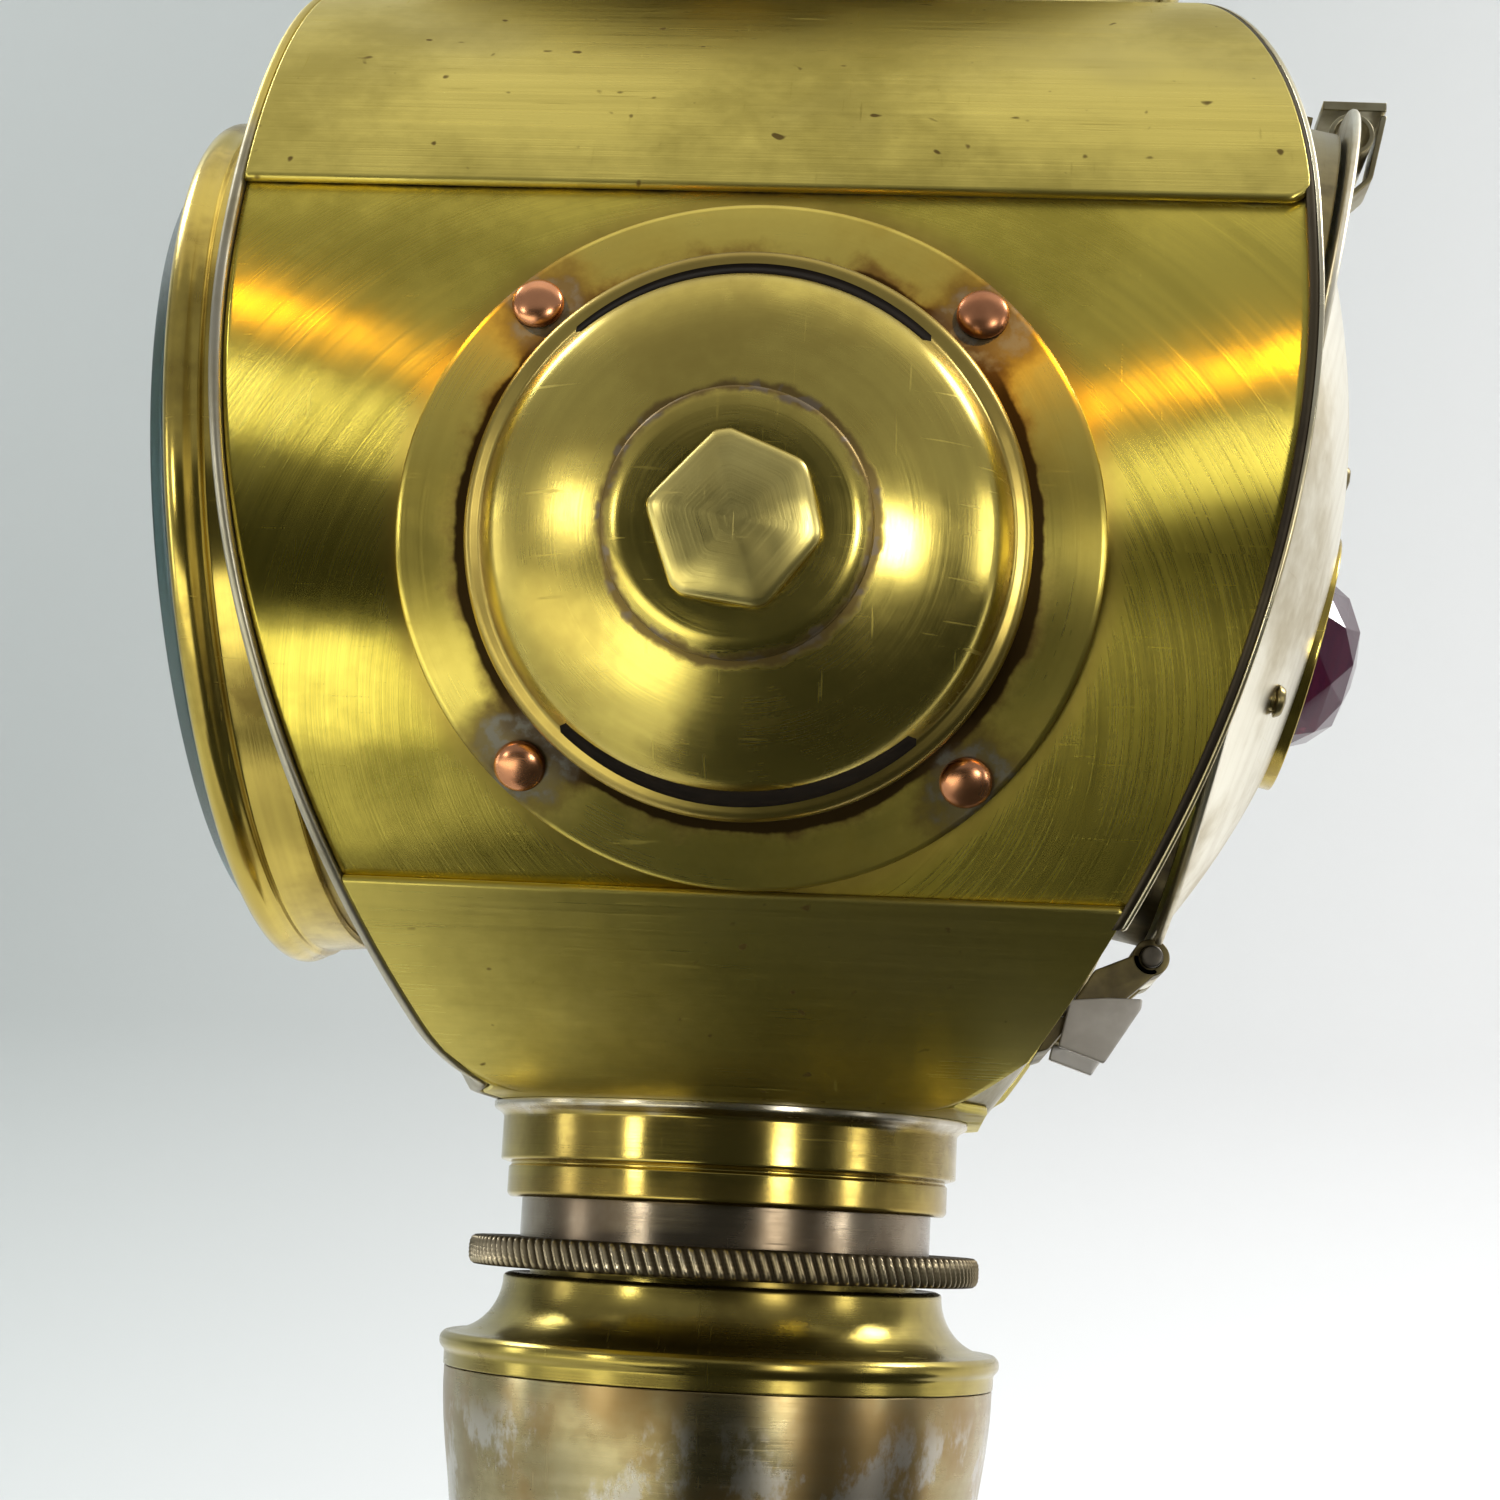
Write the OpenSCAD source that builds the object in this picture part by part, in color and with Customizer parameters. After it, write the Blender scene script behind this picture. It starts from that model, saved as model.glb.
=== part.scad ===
// Candle signal lamp: a round sheet brass head lying on its side, a bottle
// shaped candle holder under it, a lens in front and a hinged door behind.
// Origin: tube axis at the foot face. +X to the door, -X to the lens, +Z up.

/* [Drum] */
// Height of the drum axis above the foot
drum_h = 96; // [70:0.5:120]
// Outer radius of the two side sheets
side_r = 32.8; // [26:0.1:45]
// Thickness of the drum sheets
sheet_t = 0.5; // [0.3:0.05:1]
// Depth cut off the round underside to make it flat
flat_cut = 3.62; // [1:0.05:8]
// Front edge of the drum ahead of the tube axis
front_x = 23.2; // [16:0.1:32]
// Rear edge of the drum behind the tube axis
rear_x = 27.1; // [18:0.1:34]
// Sheet left ahead of the neck hole in the flat underside
front_land = 0.3; // [0.2:0.05:6]
// Sheet left behind the neck hole in the flat underside
rear_land = 2.1; // [0.5:0.05:8]
// Radius of the curved upper rear edge
rear_top_r = 42; // [38:1:90]
// Angle of the upper seams above the horizontal
seam_top_a = 21.4; // [10:0.1:40]
// Angle of the lower seams below the horizontal
seam_low_a = 38.5; // [25:0.1:50]
// Angle the side sheets run on under the saddles
lap_a = 4; // [1:0.5:8]

/* [Front] */
// Thickness of the front and rear plates
plate_t = 0.5; // [0.3:0.05:1]
// Lean of the lens plane
bezel_tilt = 5.6; // [0:0.1:15]
// Distance of the bezel plane ahead of the tube axis
bezel_x = 27.2; // [22:0.1:36]
// Height of the bezel centre above the drum axis
bezel_z = 2.0; // [-4:0.1:6]
// Outer radius of the front collar
front_collar_r = 23.2; // [16:0.1:27]
// Radius of the round bead of the bezel
bezel_bead_r = 0.9; // [0.5:0.05:1.5]
// Radius of the lens edge
lens_r = 22.6; // [15:0.1:26]
// Radius of the flat front of the lens
lens_face_r = 21.4; // [12:0.1:25]
// Height of the lens front ahead of the bezel plane
lens_proud = 2.5; // [1:0.1:5]

/* [Door] */
// Lean of the door plane
door_tilt = 11.5; // [0:0.1:20]
// Distance of the door centre behind the tube axis
door_x = 27.5; // [22:0.1:36]
// Height of the door centre above the drum axis
door_z = 3.7; // [-4:0.1:8]
// Radius of the door
door_r = 25.0; // [18:0.1:28]
// Thickness of the door sheet
door_t = 0.4; // [0.25:0.05:0.8]
// Radius of the pressed dome in the door
door_dome_r = 21.0; // [14:0.1:23]
// Height of the pressed dome
door_dome_h = 5.4; // [2:0.1:8]
// Drop of the dome centre below the door centre
door_dome_drop = 2.5; // [0:0.1:4]
// Outer radius of the rear collar
rear_collar_r = 23.5; // [16:0.1:24]
// Gap between the closed door and its collar
door_gap = 0.3; // [0.2:0.05:0.6]
// Width of the hinge
hinge_w = 11.2; // [6:0.1:20]
// Radius of the hinge pin
hinge_pin_r = 0.6; // [0.4:0.05:1]
// Outer radius of the hinge eyes
hinge_eye_r = 1.0; // [0.8:0.05:1.6]
// Radius of the rolled loop at the top of the door
loop_r = 1.3; // [0.9:0.05:2]
// Radius of the reflector
reflector_r = 19.5; // [12:0.1:21]

/* [Jewel] */
// Drop of the jewel below the door centre
jewel_drop = 5.8; // [0:0.1:12]
// Outer radius of the jewel ring
jewel_ring_r = 7.4; // [5:0.1:10]
// Radius of the jewel
jewel_r = 5.0; // [3:0.1:6.4]
// Height of the jewel above its ring
jewel_h = 3.1; // [1:0.1:4]

/* [Vents] */
// Offset of the ventilators behind the tube axis
vent_x = 1.9; // [-4:0.1:6]
// Angle of the ventilators below the horizontal
vent_a = 9.3; // [0:0.1:20]
// Outer radius of the ventilator flange
vent_flange_r = 16.1; // [12:0.1:20]
// Radius of the ventilator dome at its foot
vent_dome_r = 12.8; // [9:0.1:15]
// Height of the ventilator dome
vent_dome_h = 6.2; // [3:0.1:9]
// Half angle of each air slot
vent_slot_a = 42; // [20:1:60]
// Radius of the ventilator boss
vent_boss_r = 5.9; // [4:0.1:8]
// Radius of the ventilator stud across its corners
vent_stud_r = 3.9; // [2:0.1:5]
// Radius of the ventilator rivet heads
vent_rivet_r = 1.2; // [0.8:0.05:1.6]

/* [Chimney] */
// Outer radius of the chimney tube
chimney_r = 8.75; // [6:0.05:12]
// Radius of the cowl at its rolled edge
cowl_r = 23.4; // [16:0.1:28]
// Height of the cowl edge above the roof
cowl_lift = 4.08; // [2:0.1:10]
// Rise of the cowl from its edge to its crown
cowl_rise = 5.0; // [3:0.1:10]

/* [Neck] */
// Outer radius of the neck collar
neck_r = 12.6; // [11.8:0.05:15]
// Outer radius of the neck flare
neck_flare_r = 13.15; // [12.8:0.05:16]
// Outer radius of the nickel cap sleeve
cap_r = 11.3; // [9:0.05:12]
// Clearance of the cap sleeve in the neck
cap_clear = 0.04; // [0.01:0.01:0.1]
// Length of the neck collar below the drum
neck_len = 5.2; // [3:0.1:12]
// Gap between the neck collar and the knurled ring
ring_gap = 2.1; // [0.5:0.1:4]
// Height of the knurled ring
ring_h = 1.6; // [1:0.1:4]
// Outer radius of the knurled ring
knurl_r = 14.05; // [12:0.05:16]
// Number of ridges on the knurled ring
knurl_n = 120; // [40:1:160]

/* [Holder] */
// Radius of the straight part of the candle tube
tube_r = 14.0; // [11:0.05:16]
// Radius of the candle tube under its shoulder
tube_top_r = 14.95; // [14:0.05:17]
// Radius of the bottle's rim under the knurled ring
rim_r = 12.05; // [11:0.05:14]
// Height of the bottle's shoulder from its foot to its rim
shoulder_h = 5.1; // [3:0.1:10]
// Length of the taper from the shoulder to the straight tube
taper_h = 10; // [4:0.5:20]
// Radius of the bead at the foot of the shoulder
shoulder_bead_r = 15.3; // [14:0.05:18]
// Wall of the candle tube
tube_t = 0.5; // [0.3:0.05:1]
// Radius of the candle
candle_r = 9.9; // [7:0.1:10]
// Height of the bottom of the candle above the foot
candle_z = 29; // [16:0.5:40]

/* [Hidden] */
$fn = 96;
film = 0.02;
bend_low = 8.5;
bend_top = 12;
saddle_ri = side_r + film;
saddle_r = saddle_ri + sheet_t;
flange_r = saddle_ri + sheet_t;
flat_drop = saddle_r - flat_cut;
neck_hole_r = cap_r + cap_clear + 0.55;
bend_h = flat_drop + bend_low;
front_back = front_x - neck_hole_r - front_land;
rear_back = rear_x - neck_hole_r - rear_land;
front_low_r = (bend_h * bend_h + front_back * front_back) / (2 * front_back);
rear_low_r = (bend_h * bend_h + rear_back * rear_back) / (2 * rear_back);
far = 2 * saddle_r + 10;
front_collar_t = 0.5;
lens_step = 0.3;
lens_edge = 0.9;
rear_collar_t = 0.5;
rear_inset = 0.25;
hinge_s = door_r - 0.2;
eye_w = hinge_w / 2 - 0.4;
hinge_h = 0.03;
hinge_run = 0.04;
loop_s = door_r - 0.3;
loop_h = 0.81;
loop_t = 0.3;
dome_R = (door_dome_r * door_dome_r + door_dome_h * door_dome_h) / (2 * door_dome_h) + 0.18;
dome_c = door_dome_h - dome_R;
refl_R = 38;
refl_top = 1.6;
refl_t = 0.4;
latch_s = 19.1;
jewel_lean = 2.2;
jewel_lift = 4.65;
vent_rivet_x = 10.2 / 14.45 * (vent_flange_r + vent_dome_r) / 2;
vent_rivet_a = asin(10.6 / 14.45 * (vent_flange_r + vent_dome_r) / 2 / saddle_r);
vent_t = 0.45;
vent_top = flange_r + vent_dome_h;
vent_low = sqrt(flange_r * flange_r - vent_dome_r * vent_dome_r) - 1.8;
cowl_z = saddle_r + cowl_lift;
cowl_R = (cowl_r * cowl_r + cowl_rise * cowl_rise) / (2 * cowl_rise);
cowl_c = cowl_z + cowl_rise - cowl_R;
cowl_t = 0.5;
strap_r = (chimney_r + cowl_r) / 2 - 1;
chimney_t = 0.45;
chimney_low = side_r - 1.8;
chimney_top = cowl_z + 2.6;
neck_under = drum_h - flat_drop;
neck_low = neck_under - neck_len;
neck_step = neck_under - 0.63 * neck_len;
neck_top = neck_under + 2.5;
cap_top = neck_top - 0.8;
ring_top = neck_low - ring_gap;
cap_low = ring_top - ring_h;
cap_t = 0.35;
spout_r = cap_r - cap_t - 0.3;
spout_t = 0.35;
shoulder_top = cap_low - 0.3;
shoulder_foot = shoulder_top - shoulder_h;
foot_t = 0.6;
straight_top = shoulder_foot - taper_h;
follower_r = tube_r - tube_t - 0.3;

// ---- shared frames and shapes ----

module at_drum() { translate([0, 0, drum_h]) children(); }

module at_bezel() {
    translate([-bezel_x, 0, drum_h + bezel_z]) rotate([0, -90 - bezel_tilt, 0]) children();
}

module at_door() {
    translate([door_x, 0, drum_h + door_z]) rotate([0, 90 + door_tilt, 0]) children();
}

module at_jewel() {
    at_door() translate([jewel_drop, 0, jewel_lift]) rotate([0, jewel_lean, 0]) children();
}

module at_vent(side) {
    mirror([0, side < 0 ? 0 : 1, 0])
        translate([vent_x, 0, drum_h]) rotate([90 + vent_a, 0, 0]) children();
}

// Outline of the drum seen from the side, x along and height up
module side_2d(grow) {
    intersection() {
        translate([-front_x - grow, bend_top])
            square([front_x + rear_x + 2 * grow, far]);
        translate([rear_x - rear_top_r, bend_top]) circle(r = rear_top_r + grow);
    }
    translate([-front_x - grow, bend_low])
        square([front_x + rear_x + 2 * grow, bend_top - bend_low]);
    intersection() {
        translate([-far, -far]) square([2 * far, far + bend_low]);
        translate([front_low_r - front_x, bend_low]) circle(r = front_low_r + grow);
        translate([rear_x - rear_low_r, bend_low]) circle(r = rear_low_r + grow);
    }
}

module side_mask(grow) {
    at_drum() rotate([90, 0, 0]) linear_extrude(height = 2 * far, center = true) side_2d(grow);
}

// Section of the drum seen along its axis, flat underneath
module section_2d(r, drop) {
    intersection() {
        circle(r = r);
        translate([-far, -drop]) square([2 * far, 2 * far]);
    }
}

module along_x(len) {
    at_drum() rotate([90, 0, 90]) linear_extrude(height = len, center = true) children();
}

module side_sheet(side) {
    difference() {
        intersection() {
            along_x(far) intersection() {
                difference() {
                    circle(r = side_r);
                    circle(r = side_r - sheet_t);
                }
                scale([side, 1]) polygon([[0, 0],
                    [far * cos(seam_low_a + lap_a), -far * sin(seam_low_a + lap_a)],
                    [1.5 * far, 0],
                    [far * cos(seam_top_a + lap_a), far * sin(seam_top_a + lap_a)]]);
            }
            side_mask(0);
        }
        at_vent(side) translate([0, 0, side_r / 2]) cylinder(h = side_r, r = vent_dome_r - 1.8);
        rivet_places(side) translate([0, 0, side_r / 2]) cylinder(h = side_r, r = 0.65);
    }
}

module rivet_places(side) {
    for (u = [-1, 1]) for (v = [-1, 1])
        at_vent(side) rotate([v * vent_rivet_a, 0, 0]) translate([u * vent_rivet_x, 0, 0]) children();
}

// ---- drum sheets ----

module near_side_sheet() { color([0.72, 0.62, 0.30]) side_sheet(-1); }

module far_side_sheet() { color([0.72, 0.62, 0.30]) side_sheet(1); }

module roof_saddle() {
    color([0.70, 0.60, 0.30])
    difference() {
        intersection() {
            along_x(far) intersection() {
                difference() {
                    circle(r = saddle_r);
                    circle(r = saddle_ri);
                }
                polygon([[0, 0], [far * cos(seam_top_a), far * sin(seam_top_a)], [far, 1.5 * far],
                    [-far, 1.5 * far], [-far * cos(seam_top_a), far * sin(seam_top_a)]]);
            }
            side_mask(0);
        }
        at_drum() cylinder(h = far, r = chimney_r + 0.05);
    }
}

module bottom_saddle() {
    color([0.66, 0.57, 0.30])
    difference() {
        intersection() {
            along_x(far) intersection() {
                difference() {
                    section_2d(saddle_r, flat_drop);
                    section_2d(saddle_ri, flat_drop - sheet_t);
                }
                polygon([[0, 0], [far * cos(seam_low_a), -far * sin(seam_low_a)], [far, -1.5 * far],
                    [-far, -1.5 * far], [-far * cos(seam_low_a), -far * sin(seam_low_a)]]);
            }
            side_mask(0);
        }
        translate([0, 0, neck_under - 5]) cylinder(h = 20, r = neck_hole_r);
    }
}

// ---- front plate, collar, bezel and lens ----

module front_plate() {
    color([0.62, 0.60, 0.52])
    difference() {
        intersection() {
            side_mask(plate_t + film);
            along_x(far) section_2d(saddle_r, flat_drop);
            translate([-far, -far, 0]) cube([far - front_x / 2, 2 * far, drum_h + far]);
        }
        side_mask(film);
        at_bezel() translate([0, 0, -20]) cylinder(h = 40, r = front_collar_r + film);
    }
}

module front_collar() {
    color([0.70, 0.60, 0.30])
    difference() {
        at_bezel() translate([0, 0, -16]) cylinder(h = 15.35, r = front_collar_r);
        at_bezel() translate([0, 0, -17]) cylinder(h = 18, r = front_collar_r - front_collar_t);
        side_mask(-0.7);
    }
}

module bezel() {
    color([0.74, 0.63, 0.30])
    at_bezel() rotate_extrude() {
        translate([front_collar_r + film, -3.4]) square([0.5, 3.7]);
        translate([front_collar_r + 0.2, 0.3]) circle(r = bezel_bead_r);
    }
}

module lens_glass() {
    color([0.70, 0.80, 0.80])
    at_bezel() rotate_extrude()
        polygon([[0, -1.4], [lens_r, -1.4], [lens_r, -0.2], [lens_r - lens_step, -0.2],
            [lens_r - lens_step, lens_proud - lens_edge], [lens_face_r, lens_proud], [0, lens_proud]]);
}

module lens_ring() {
    color([0.70, 0.60, 0.30])
    at_bezel() translate([0, 0, -2.3]) difference() {
        cylinder(h = 0.85, r = lens_r + 0.05);
        translate([0, 0, -1]) cylinder(h = 3, r = lens_r - 1.6);
    }
}

// ---- rear plate, collar, catch and hinge ----

module rear_plate() {
    color([0.62, 0.60, 0.52])
    difference() {
        intersection() {
            side_mask(-rear_inset);
            along_x(far) section_2d(side_r - sheet_t - film, flat_drop - sheet_t - film);
            translate([rear_x / 2, -far, 0]) cube([far, 2 * far, drum_h + far]);
        }
        side_mask(-rear_inset - plate_t);
        at_door() translate([0, 0, -24]) cylinder(h = 40, r = rear_collar_r + film);
    }
}

module rear_collar() {
    color([0.66, 0.57, 0.30])
    difference() {
        at_door() translate([0, 0, -14]) cylinder(h = 14 - door_gap, r = rear_collar_r);
        at_door() translate([0, 0, -15]) cylinder(h = 17, r = rear_collar_r - rear_collar_t);
        side_mask(-rear_inset - plate_t - 0.2);
    }
}

module catch_lug() {
    color([0.72, 0.62, 0.30])
    difference() {
        at_door() translate([-25.8, -2, -3.4]) cube([3, 4, 1.9]);
        at_door() translate([0, 0, -10]) cylinder(h = 12, r = rear_collar_r + film);
    }
}

// Places of the leaf in the side view, from the drum axis
leaf_low = flat_drop - 0.75;
leaf_high = flat_drop - 5.3;
leaf_mid = flat_drop - 4.7;
function leaf_x(z) = rear_x - rear_low_r + sqrt(pow(rear_low_r, 2) - pow(bend_low + z, 2)) - rear_inset + 0.13;
eye_x = door_x - hinge_s * sin(door_tilt) + hinge_h * cos(door_tilt);
eye_z = door_z - hinge_s * cos(door_tilt) - hinge_h * sin(door_tilt);

module across(y, width) {
    translate([0, y, drum_h]) rotate([90, 0, 0]) linear_extrude(height = width, center = true) children();
}

module hinge_leaf() {
    color([0.35, 0.31, 0.22]) {
        across(0, hinge_w) polygon([[leaf_x(leaf_low), -leaf_low], [leaf_x(leaf_low) + 0.6, -leaf_low],
            [leaf_x(leaf_high) + 0.6, -leaf_high], [leaf_x(leaf_high), -leaf_high]]);
        for (s = [-1, 1]) across(s * (hinge_w + eye_w + 0.6) / 4, (hinge_w - eye_w - 0.6) / 2) difference() {
            union() {
                polygon([[leaf_x(leaf_mid) + 0.1, -leaf_mid], [leaf_x(leaf_mid) + 0.7, -leaf_mid - 0.2],
                    [eye_x + 0.6, eye_z - 0.5], [eye_x - 0.5, eye_z + 0.4]]);
                translate([eye_x, eye_z]) circle(r = hinge_eye_r);
            }
            translate([eye_x, eye_z]) circle(r = hinge_pin_r + film);
        }
        for (s = [-1, 1]) across(s * hinge_w / 2, 0.6)
            polygon([[leaf_x(leaf_mid) + 0.2, -leaf_mid + 0.1], [eye_x - 0.8, eye_z - 1.3],
                [eye_x + 0.1, eye_z - 1.5], [eye_x + 0.1, eye_z - 2.4], [eye_x - 2.0, eye_z - 5.6],
                [leaf_x(leaf_mid) + 0.1, -leaf_mid - 0.5]]);
    }
}

module hinge_pin() {
    color([0.25, 0.22, 0.18]) across(0, hinge_w + 1.2) translate([eye_x, eye_z]) circle(r = hinge_pin_r);
}

// ---- ventilators ----

module vent_flange(side) {
    difference() {
        intersection() {
            along_x(far) difference() {
                circle(r = flange_r);
                circle(r = side_r + film);
            }
            at_vent(side) translate([0, 0, side_r / 2]) cylinder(h = side_r, r = vent_flange_r);
        }
        at_vent(side) translate([0, 0, side_r / 2]) cylinder(h = side_r, r = vent_dome_r - 1.2);
        rivet_places(side) translate([0, 0, side_r / 2]) cylinder(h = side_r, r = 0.65);
    }
}

function vent_arc(r, h, a0, a1, n) = [for (i = [0:n])
    [r * cos(a0 + (a1 - a0) * i / n), flange_r + h * sin(a0 + (a1 - a0) * i / n)]];

module vent_dome(side) {
    difference() {
        at_vent(side) rotate_extrude() polygon(concat(
            [[vent_dome_r, vent_low]],
            vent_arc(vent_dome_r, vent_dome_h, 0, 86, 14),
            [[0.75, vent_top], [0.75, vent_top - vent_t]],
            vent_arc(vent_dome_r - vent_t, vent_dome_h - vent_t, 86, 0, 14),
            [[vent_dome_r - vent_t, vent_low]]));
        along_x(far) circle(r = flange_r + film);
        at_vent(side) for (a = [90, 270]) rotate([0, 0, a]) translate([0, 0, flange_r + 0.25 * vent_dome_h])
            linear_extrude(height = vent_dome_h) intersection() {
                difference() {
                    circle(r = vent_dome_r - 0.8);
                    circle(r = vent_dome_r - 1.6);
                }
                polygon([[0, 0], [2 * vent_dome_r * cos(vent_slot_a), -2 * vent_dome_r * sin(vent_slot_a)],
                    [3 * vent_dome_r, 0],
                    [2 * vent_dome_r * cos(vent_slot_a), 2 * vent_dome_r * sin(vent_slot_a)]]);
            }
    }
}

function dome_at(r) = flange_r + vent_dome_h * sqrt(1 - (r / vent_dome_r) * (r / vent_dome_r));

module vent_boss(side) {
    at_vent(side) rotate_extrude() polygon(concat(
        [for (i = [0:6]) let (r = 0.75 + (vent_boss_r - 0.75) * i / 6) [r, dome_at(r) + 0.05]],
        [[vent_boss_r, vent_top + 0.15], [vent_boss_r - 0.9, vent_top + 0.7],
            [vent_boss_r - 1.8, vent_top + 0.8], [0.75, vent_top + 0.8]]));
}

module vent_stud(side) {
    at_vent(side) {
        translate([0, 0, vent_top + 0.85]) cylinder(h = 1.15, r = vent_stud_r, $fn = 6);
        translate([0, 0, vent_top - 1.3]) cylinder(h = 2.6, r = 0.7);
    }
}

module vent_rivets(side) {
    rivet_places(side) {
        translate([0, 0, flange_r + 0.03]) intersection() {
            translate([0, 0, 0.6 - 1.5]) sphere(r = 1.5);
            cylinder(h = 2, r = vent_rivet_r);
        }
        translate([0, 0, side_r - sheet_t - 0.3]) cylinder(h = 1.6, r = 0.6);
        translate([0, 0, side_r - sheet_t - 0.45]) cylinder(h = 0.42, r = 0.9);
    }
}

module near_vent_flange() { color([0.66, 0.57, 0.30]) vent_flange(-1); }

module far_vent_flange() { color([0.66, 0.57, 0.30]) vent_flange(1); }

module near_vent_dome() { color([0.74, 0.64, 0.32]) vent_dome(-1); }

module far_vent_dome() { color([0.74, 0.64, 0.32]) vent_dome(1); }

module near_vent_boss() { color([0.70, 0.60, 0.30]) vent_boss(-1); }

module far_vent_boss() { color([0.70, 0.60, 0.30]) vent_boss(1); }

module near_vent_stud() { color([0.55, 0.48, 0.28]) vent_stud(-1); }

module far_vent_stud() { color([0.55, 0.48, 0.28]) vent_stud(1); }

module near_vent_rivets() { color([0.72, 0.42, 0.26]) vent_rivets(-1); }

module far_vent_rivets() { color([0.72, 0.42, 0.26]) vent_rivets(1); }

// ---- chimney and cowl ----

module chimney_tube() {
    color([0.60, 0.52, 0.30])
    at_drum() translate([0, 0, chimney_low]) difference() {
        cylinder(h = chimney_top - chimney_low, r = chimney_r);
        translate([0, 0, -1]) cylinder(h = 20, r = chimney_r - chimney_t);
    }
}

module cowl() {
    color([0.68, 0.58, 0.30])
    at_drum() difference() {
        union() {
            intersection() {
                translate([0, 0, cowl_c]) sphere(r = cowl_R);
                translate([0, 0, cowl_z - 0.4]) cylinder(h = 20, r = cowl_r - 0.6);
            }
            rotate_extrude() translate([cowl_r - 0.55, cowl_z - 0.05]) circle(r = 0.55);
        }
        intersection() {
            translate([0, 0, cowl_c]) sphere(r = cowl_R - cowl_t);
            translate([0, 0, cowl_z - 3]) cylinder(h = 20, r = cowl_r - 1.05);
        }
        cylinder(h = 60, r = 1.25);
    }
}

module cowl_straps() {
    color([0.60, 0.52, 0.30])
    for (a = [60, 180, 300]) at_drum() rotate([0, 0, a]) rotate([90, 0, 0])
        linear_extrude(height = 4, center = true)
            polygon([[chimney_r + 0.03, cowl_z - 1.2], [chimney_r + 0.6, cowl_z - 1.2],
                [chimney_r + 0.6, cowl_under(chimney_r + 0.6) - 0.65],
                [strap_r, cowl_under(strap_r) - 0.6], [strap_r, cowl_under(strap_r) - 0.06],
                [chimney_r + 0.03, cowl_under(chimney_r) - 0.1]]);
}

function cowl_under(r) = cowl_c + sqrt(pow(cowl_R - cowl_t, 2) - r * r);

module cowl_knob() {
    color([0.70, 0.60, 0.30])
    at_drum() translate([0, 0, cowl_z + cowl_rise + film]) rotate_extrude() {
        square([3, 0.8]);
        square([1.4, 2.4]);
        intersection() {
            translate([0, 2.6]) circle(r = 2.2);
            square([3, 6]);
        }
        translate([0, -1.2]) square([1.2, 1.4]);
    }
}

// ---- neck ----

module neck_collar() {
    color([0.62, 0.54, 0.30])
    rotate_extrude() polygon([
        [cap_r + cap_clear, neck_low], [neck_r - 0.65, neck_low], [neck_r - 0.45, neck_low + 0.2],
        [neck_r - 0.45, neck_step - 0.15], [neck_r, neck_step], [neck_r, neck_under - 0.65],
        [neck_flare_r, neck_under - 0.35], [neck_flare_r, neck_under - film],
        [cap_r + cap_clear + 0.53, neck_under - film], [cap_r + cap_clear + 0.53, neck_top],
        [cap_r - 0.7, neck_top], [cap_r - 0.7, neck_top - 0.5], [cap_r + cap_clear, neck_top - 0.5]]);
}

// ---- door, reflector and jewel ----

module door_panel() {
    color([0.78, 0.75, 0.66])
    at_door() difference() {
        union() {
            difference() {
                cylinder(h = door_t, r = door_r);
                translate([hinge_s - hinge_eye_r - 0.4, -hinge_w / 2 - 0.6, -1]) cube([4, hinge_w + 1.2, 3]);
                translate([-loop_s, 0, loop_h]) rotate([90, 0, 0])
                    cylinder(h = 6, r = loop_r - loop_t / 2, center = true);
            }
            intersection() {
                translate([door_dome_drop, 0, dome_c]) sphere(r = dome_R);
                translate([door_dome_drop, 0, 0.01]) cylinder(h = 10, r = door_dome_r);
            }
            translate([hinge_s - 1.6, -eye_w / 2, 0]) cube([1.4, eye_w, door_t]);
            translate([hinge_s, 0, hinge_h]) rotate([90, 0, 0])
                cylinder(h = eye_w, r = hinge_eye_r, center = true);
            translate([-loop_s, 0, loop_h]) rotate([90, 0, 0]) difference() {
                cylinder(h = 6, r = loop_r, center = true);
                cylinder(h = 7, r = loop_r - loop_t, center = true);
            }
        }
        intersection() {
            translate([door_dome_drop, 0, dome_c]) sphere(r = dome_R - door_t);
            translate([door_dome_drop, 0, -1]) cylinder(h = 10, r = door_dome_r - 0.6);
        }
        translate([hinge_s, 0, hinge_h]) rotate([90, 0, 0])
            cylinder(h = 14, r = hinge_pin_r + hinge_run, center = true);
        translate([jewel_drop, 0, jewel_lift]) rotate([0, jewel_lean, 0])
            translate([0, 0, -3]) cylinder(h = 6, r = jewel_ring_r + 0.05);
        for (p = refl_posts) translate([p[0], p[1], -2]) cylinder(h = 10, r = 0.65);
        translate([-latch_s, 0, -2]) cylinder(h = 4, r = 0.95);
    }
}

refl_posts = [[-5.3, 0], [11, 12], [11, -12]];

function off(p) = norm([p[0] - door_dome_drop, p[1]]);

function dome_h(p) = dome_c + sqrt(dome_R * dome_R - off(p) * off(p));

function head_up(p) = 0.03 + 0.95 * off(p) / sqrt(dome_R * dome_R - off(p) * off(p));

function refl_h(p) = refl_top - refl_R + sqrt(pow(refl_R - refl_t, 2) - off(p) * off(p));

module reflector() {
    color([0.85, 0.84, 0.80])
    at_door() difference() {
        intersection() {
            translate([door_dome_drop, 0, refl_top - refl_R]) sphere(r = refl_R);
            translate([door_dome_drop, 0, -8]) cylinder(h = 12, r = reflector_r);
        }
        translate([door_dome_drop, 0, refl_top - refl_R]) sphere(r = refl_R - refl_t);
        translate([jewel_drop, 0, -8]) cylinder(h = 12, r = 5.5);
        for (p = refl_posts) translate([p[0], p[1], -8]) cylinder(h = 12, r = 0.65);
    }
}

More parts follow.
